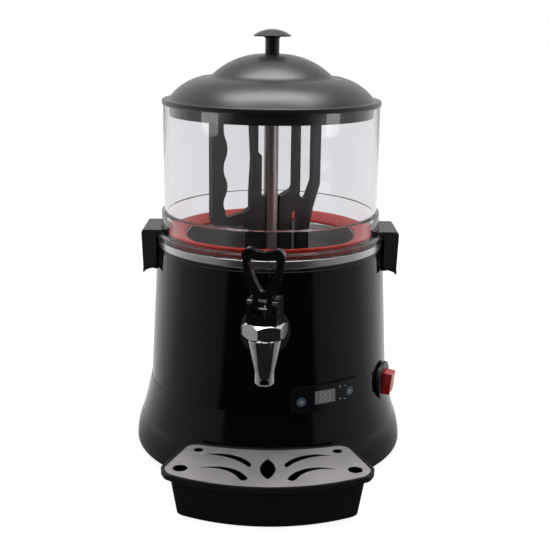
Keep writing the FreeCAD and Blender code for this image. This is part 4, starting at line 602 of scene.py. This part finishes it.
# Clips: satin black channels that hook over the jar's flange, on brackets screwed to the wall.
clip_black = finish("clip_black", (0.018, 0.017, 0.017), 0.4, fine=1200, bump=0.06, tint_change=0.3)
for node in ("clip_left", "clip_right"):
    smoothed(node, clip_black, edge=0.0009)
smoothed("clip_brackets", clip_black, edge=0.0004)
pin_steel = finish("pin_steel", (0.6, 0.6, 0.61), 0.25, 1.0, fine=700)
smoothed("clip_pins", pin_steel, edge=0.0003)
smoothed("clip_screws", zinc)

# Control panel: a curved gloss black moulding with a two-digit display, two round buttons and
# two lights. Plain marks are laid on the display, the buttons and beside the lights.
panel_black = finish("panel_black", (0.004, 0.004, 0.005), 0.14, fine=1200, bump=0.02, tint_change=0.3)
display_tint = finish("display_tint", (0.145, 0.14, 0.15), 0.25, fine=400, tint_change=0.08, bump=0.01)
button_blue = finish("button_blue", (0.045, 0.07, 0.095), 0.3, fine=900, tint_change=0.08)
board_green = finish("board_green", (0.02, 0.11, 0.05), 0.4, fine=500, bump=0.1)
smoothed("panel_housing", panel_black, edge=0.0006)
smoothed("display_window", display_tint)
smoothed("button_left", button_blue, edge=0.0003)
smoothed("button_right", button_blue, edge=0.0003)
smoothed("indicator_lights", display_tint)
smoothed("control_board", board_green)


seam_radius, seam_height = 133.2, 83.0
wall_top_radius, wall_top_height = 124.4, 233.5


def wall_radius(height):
    """Outer radius of the housing's cone at a height, both in millimetres."""
    share = (height - seam_height) / (wall_top_height - seam_height)
    return seam_radius + (wall_top_radius - seam_radius) * share


def panel_tiles(name, tiles, mat):
    """Thin slabs bent round the housing's cone, each (azimuth, height, width, tall, lift, thick)."""
    corners = np.array([(x, y, z) for x in (-0.5, 0.5) for y in (0, 1) for z in (-0.5, 0.5)])
    quads = np.array([(0, 1, 3, 2), (4, 6, 7, 5), (0, 4, 5, 1), (2, 3, 7, 6), (0, 2, 6, 4), (1, 5, 7, 3)])
    verts, faces = [], []
    for azimuth, height, wide, tall, lift, thick in tiles:
        up = height + corners[:, 2] * tall
        far = wall_radius(up) + lift + corners[:, 1] * thick
        turn = np.radians(azimuth) + corners[:, 0] * wide / wall_radius(height)
        faces.append(quads + 8 * len(verts))
        verts.append(np.stack([far * np.sin(turn), -far * np.cos(turn), up], axis=-1) / 1000.0)
    obj = close_mesh(name, np.concatenate(verts), np.concatenate(faces), mat)
    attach(obj, "machine")
    return obj


digit_grey = finish("digit_grey", (0.30, 0.28, 0.29), 0.4, fine=600, tint_change=0.06)
display_azimuth, display_height = 25.6, 98.0
digit_wide, digit_tall, segment_width = 4.2, 9.6, 0.9
bar_length = digit_wide - 1.4
post_length = digit_tall / 2 - 1.3
digit_turn = 3.3 / 2.32
post_turn = math.degrees(digit_wide / 2 / 132.3)
panel_face, digit_thick = 3.0, 0.12
digits = []
for column in (-1, 1):
    centre = display_azimuth + column * digit_turn
    for level in (-1, 0, 1):
        up = display_height + level * digit_tall / 2
        digits.append((centre, up, bar_length, segment_width, panel_face, digit_thick))
    for side in (-1, 1):
        for level in (-1, 1):
            up = display_height + level * digit_tall / 4
            place = centre + side * post_turn
            digits.append((place, up, segment_width, post_length, panel_face, digit_thick))
panel_tiles("display_digits", digits, digit_grey)

mark_blue = finish("mark_blue", (0.22, 0.29, 0.35), 0.35, fine=600, tint_change=0.06)
button_face, mark_thick = 3.37, 0.1
mark_long, mark_short, mark_width = 5.2, 2.6, 0.9
left_azimuth, left_height, short_bar_rise, short_bar_width = 14.3, 95.1, 1.4, 0.8
right_azimuth, right_height = 38.6, 98.1
left_marks = [(left_azimuth, left_height, mark_long, mark_width, button_face, mark_thick)]
for side in (1, -1):
    up = left_height + side * short_bar_rise
    left_marks.append((left_azimuth, up, mark_short, short_bar_width, button_face, mark_thick))
right_marks = [
    (right_azimuth, right_height, wide, tall, button_face, mark_thick)
    for wide, tall in ((mark_long, mark_width), (mark_width, mark_long))
]
left_mark = panel_tiles("left_button_mark", left_marks, mark_blue)
right_mark = panel_tiles("right_button_mark", right_marks, mark_blue)
for obj, body in ((left_mark, "left_button"), (right_mark, "right_button")):
    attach(obj, body)
side_marks = [
    (azimuth, height, mark_short, 0.7, panel_face, mark_thick)
    for azimuth, height in ((36.1, 105.2), (35.8, 91.2))
]
panel_tiles("panel_marks", side_marks, mark_blue)

# Rocker switch: a round black bezel pressed into the wall, with a red rocker.
rocker_red = finish("rocker_red", (0.40, 0.011, 0.008), 0.22, fine=600, tint_change=0.12)
smoothed("switch_bezel", satin_black, edge=0.0004)
smoothed("switch_rocker", rocker_red, edge=0.0007)
smoothed("switch_case", satin_black)

# Cord inlet: a black nylon gland and its nut in the back of the skirt. No cord is fitted.
smoothed("cable_gland", satin_black, edge=0.0004)
smoothed("gland_nut", satin_black)

# Drip tray: a satin black tub that slides under the machine, with a slotted steel plate.
plate_steel = finish("plate_steel", (0.66, 0.63, 0.63), 0.5, 1.0, fine=2200, stretch=(0.04, 1, 1),
                     tint_change=0.12, rough_change=0.25, bump=0.06, depth=0.0002)
tray_black = finish("tray_black", (0.009, 0.0085, 0.008), 0.3, fine=2200, bump=0.08, tint_change=0.3)
smoothed("drip_tray", tray_black, edge=0.0006)
smoothed("tray_grille", plate_steel, edge=0.0002)
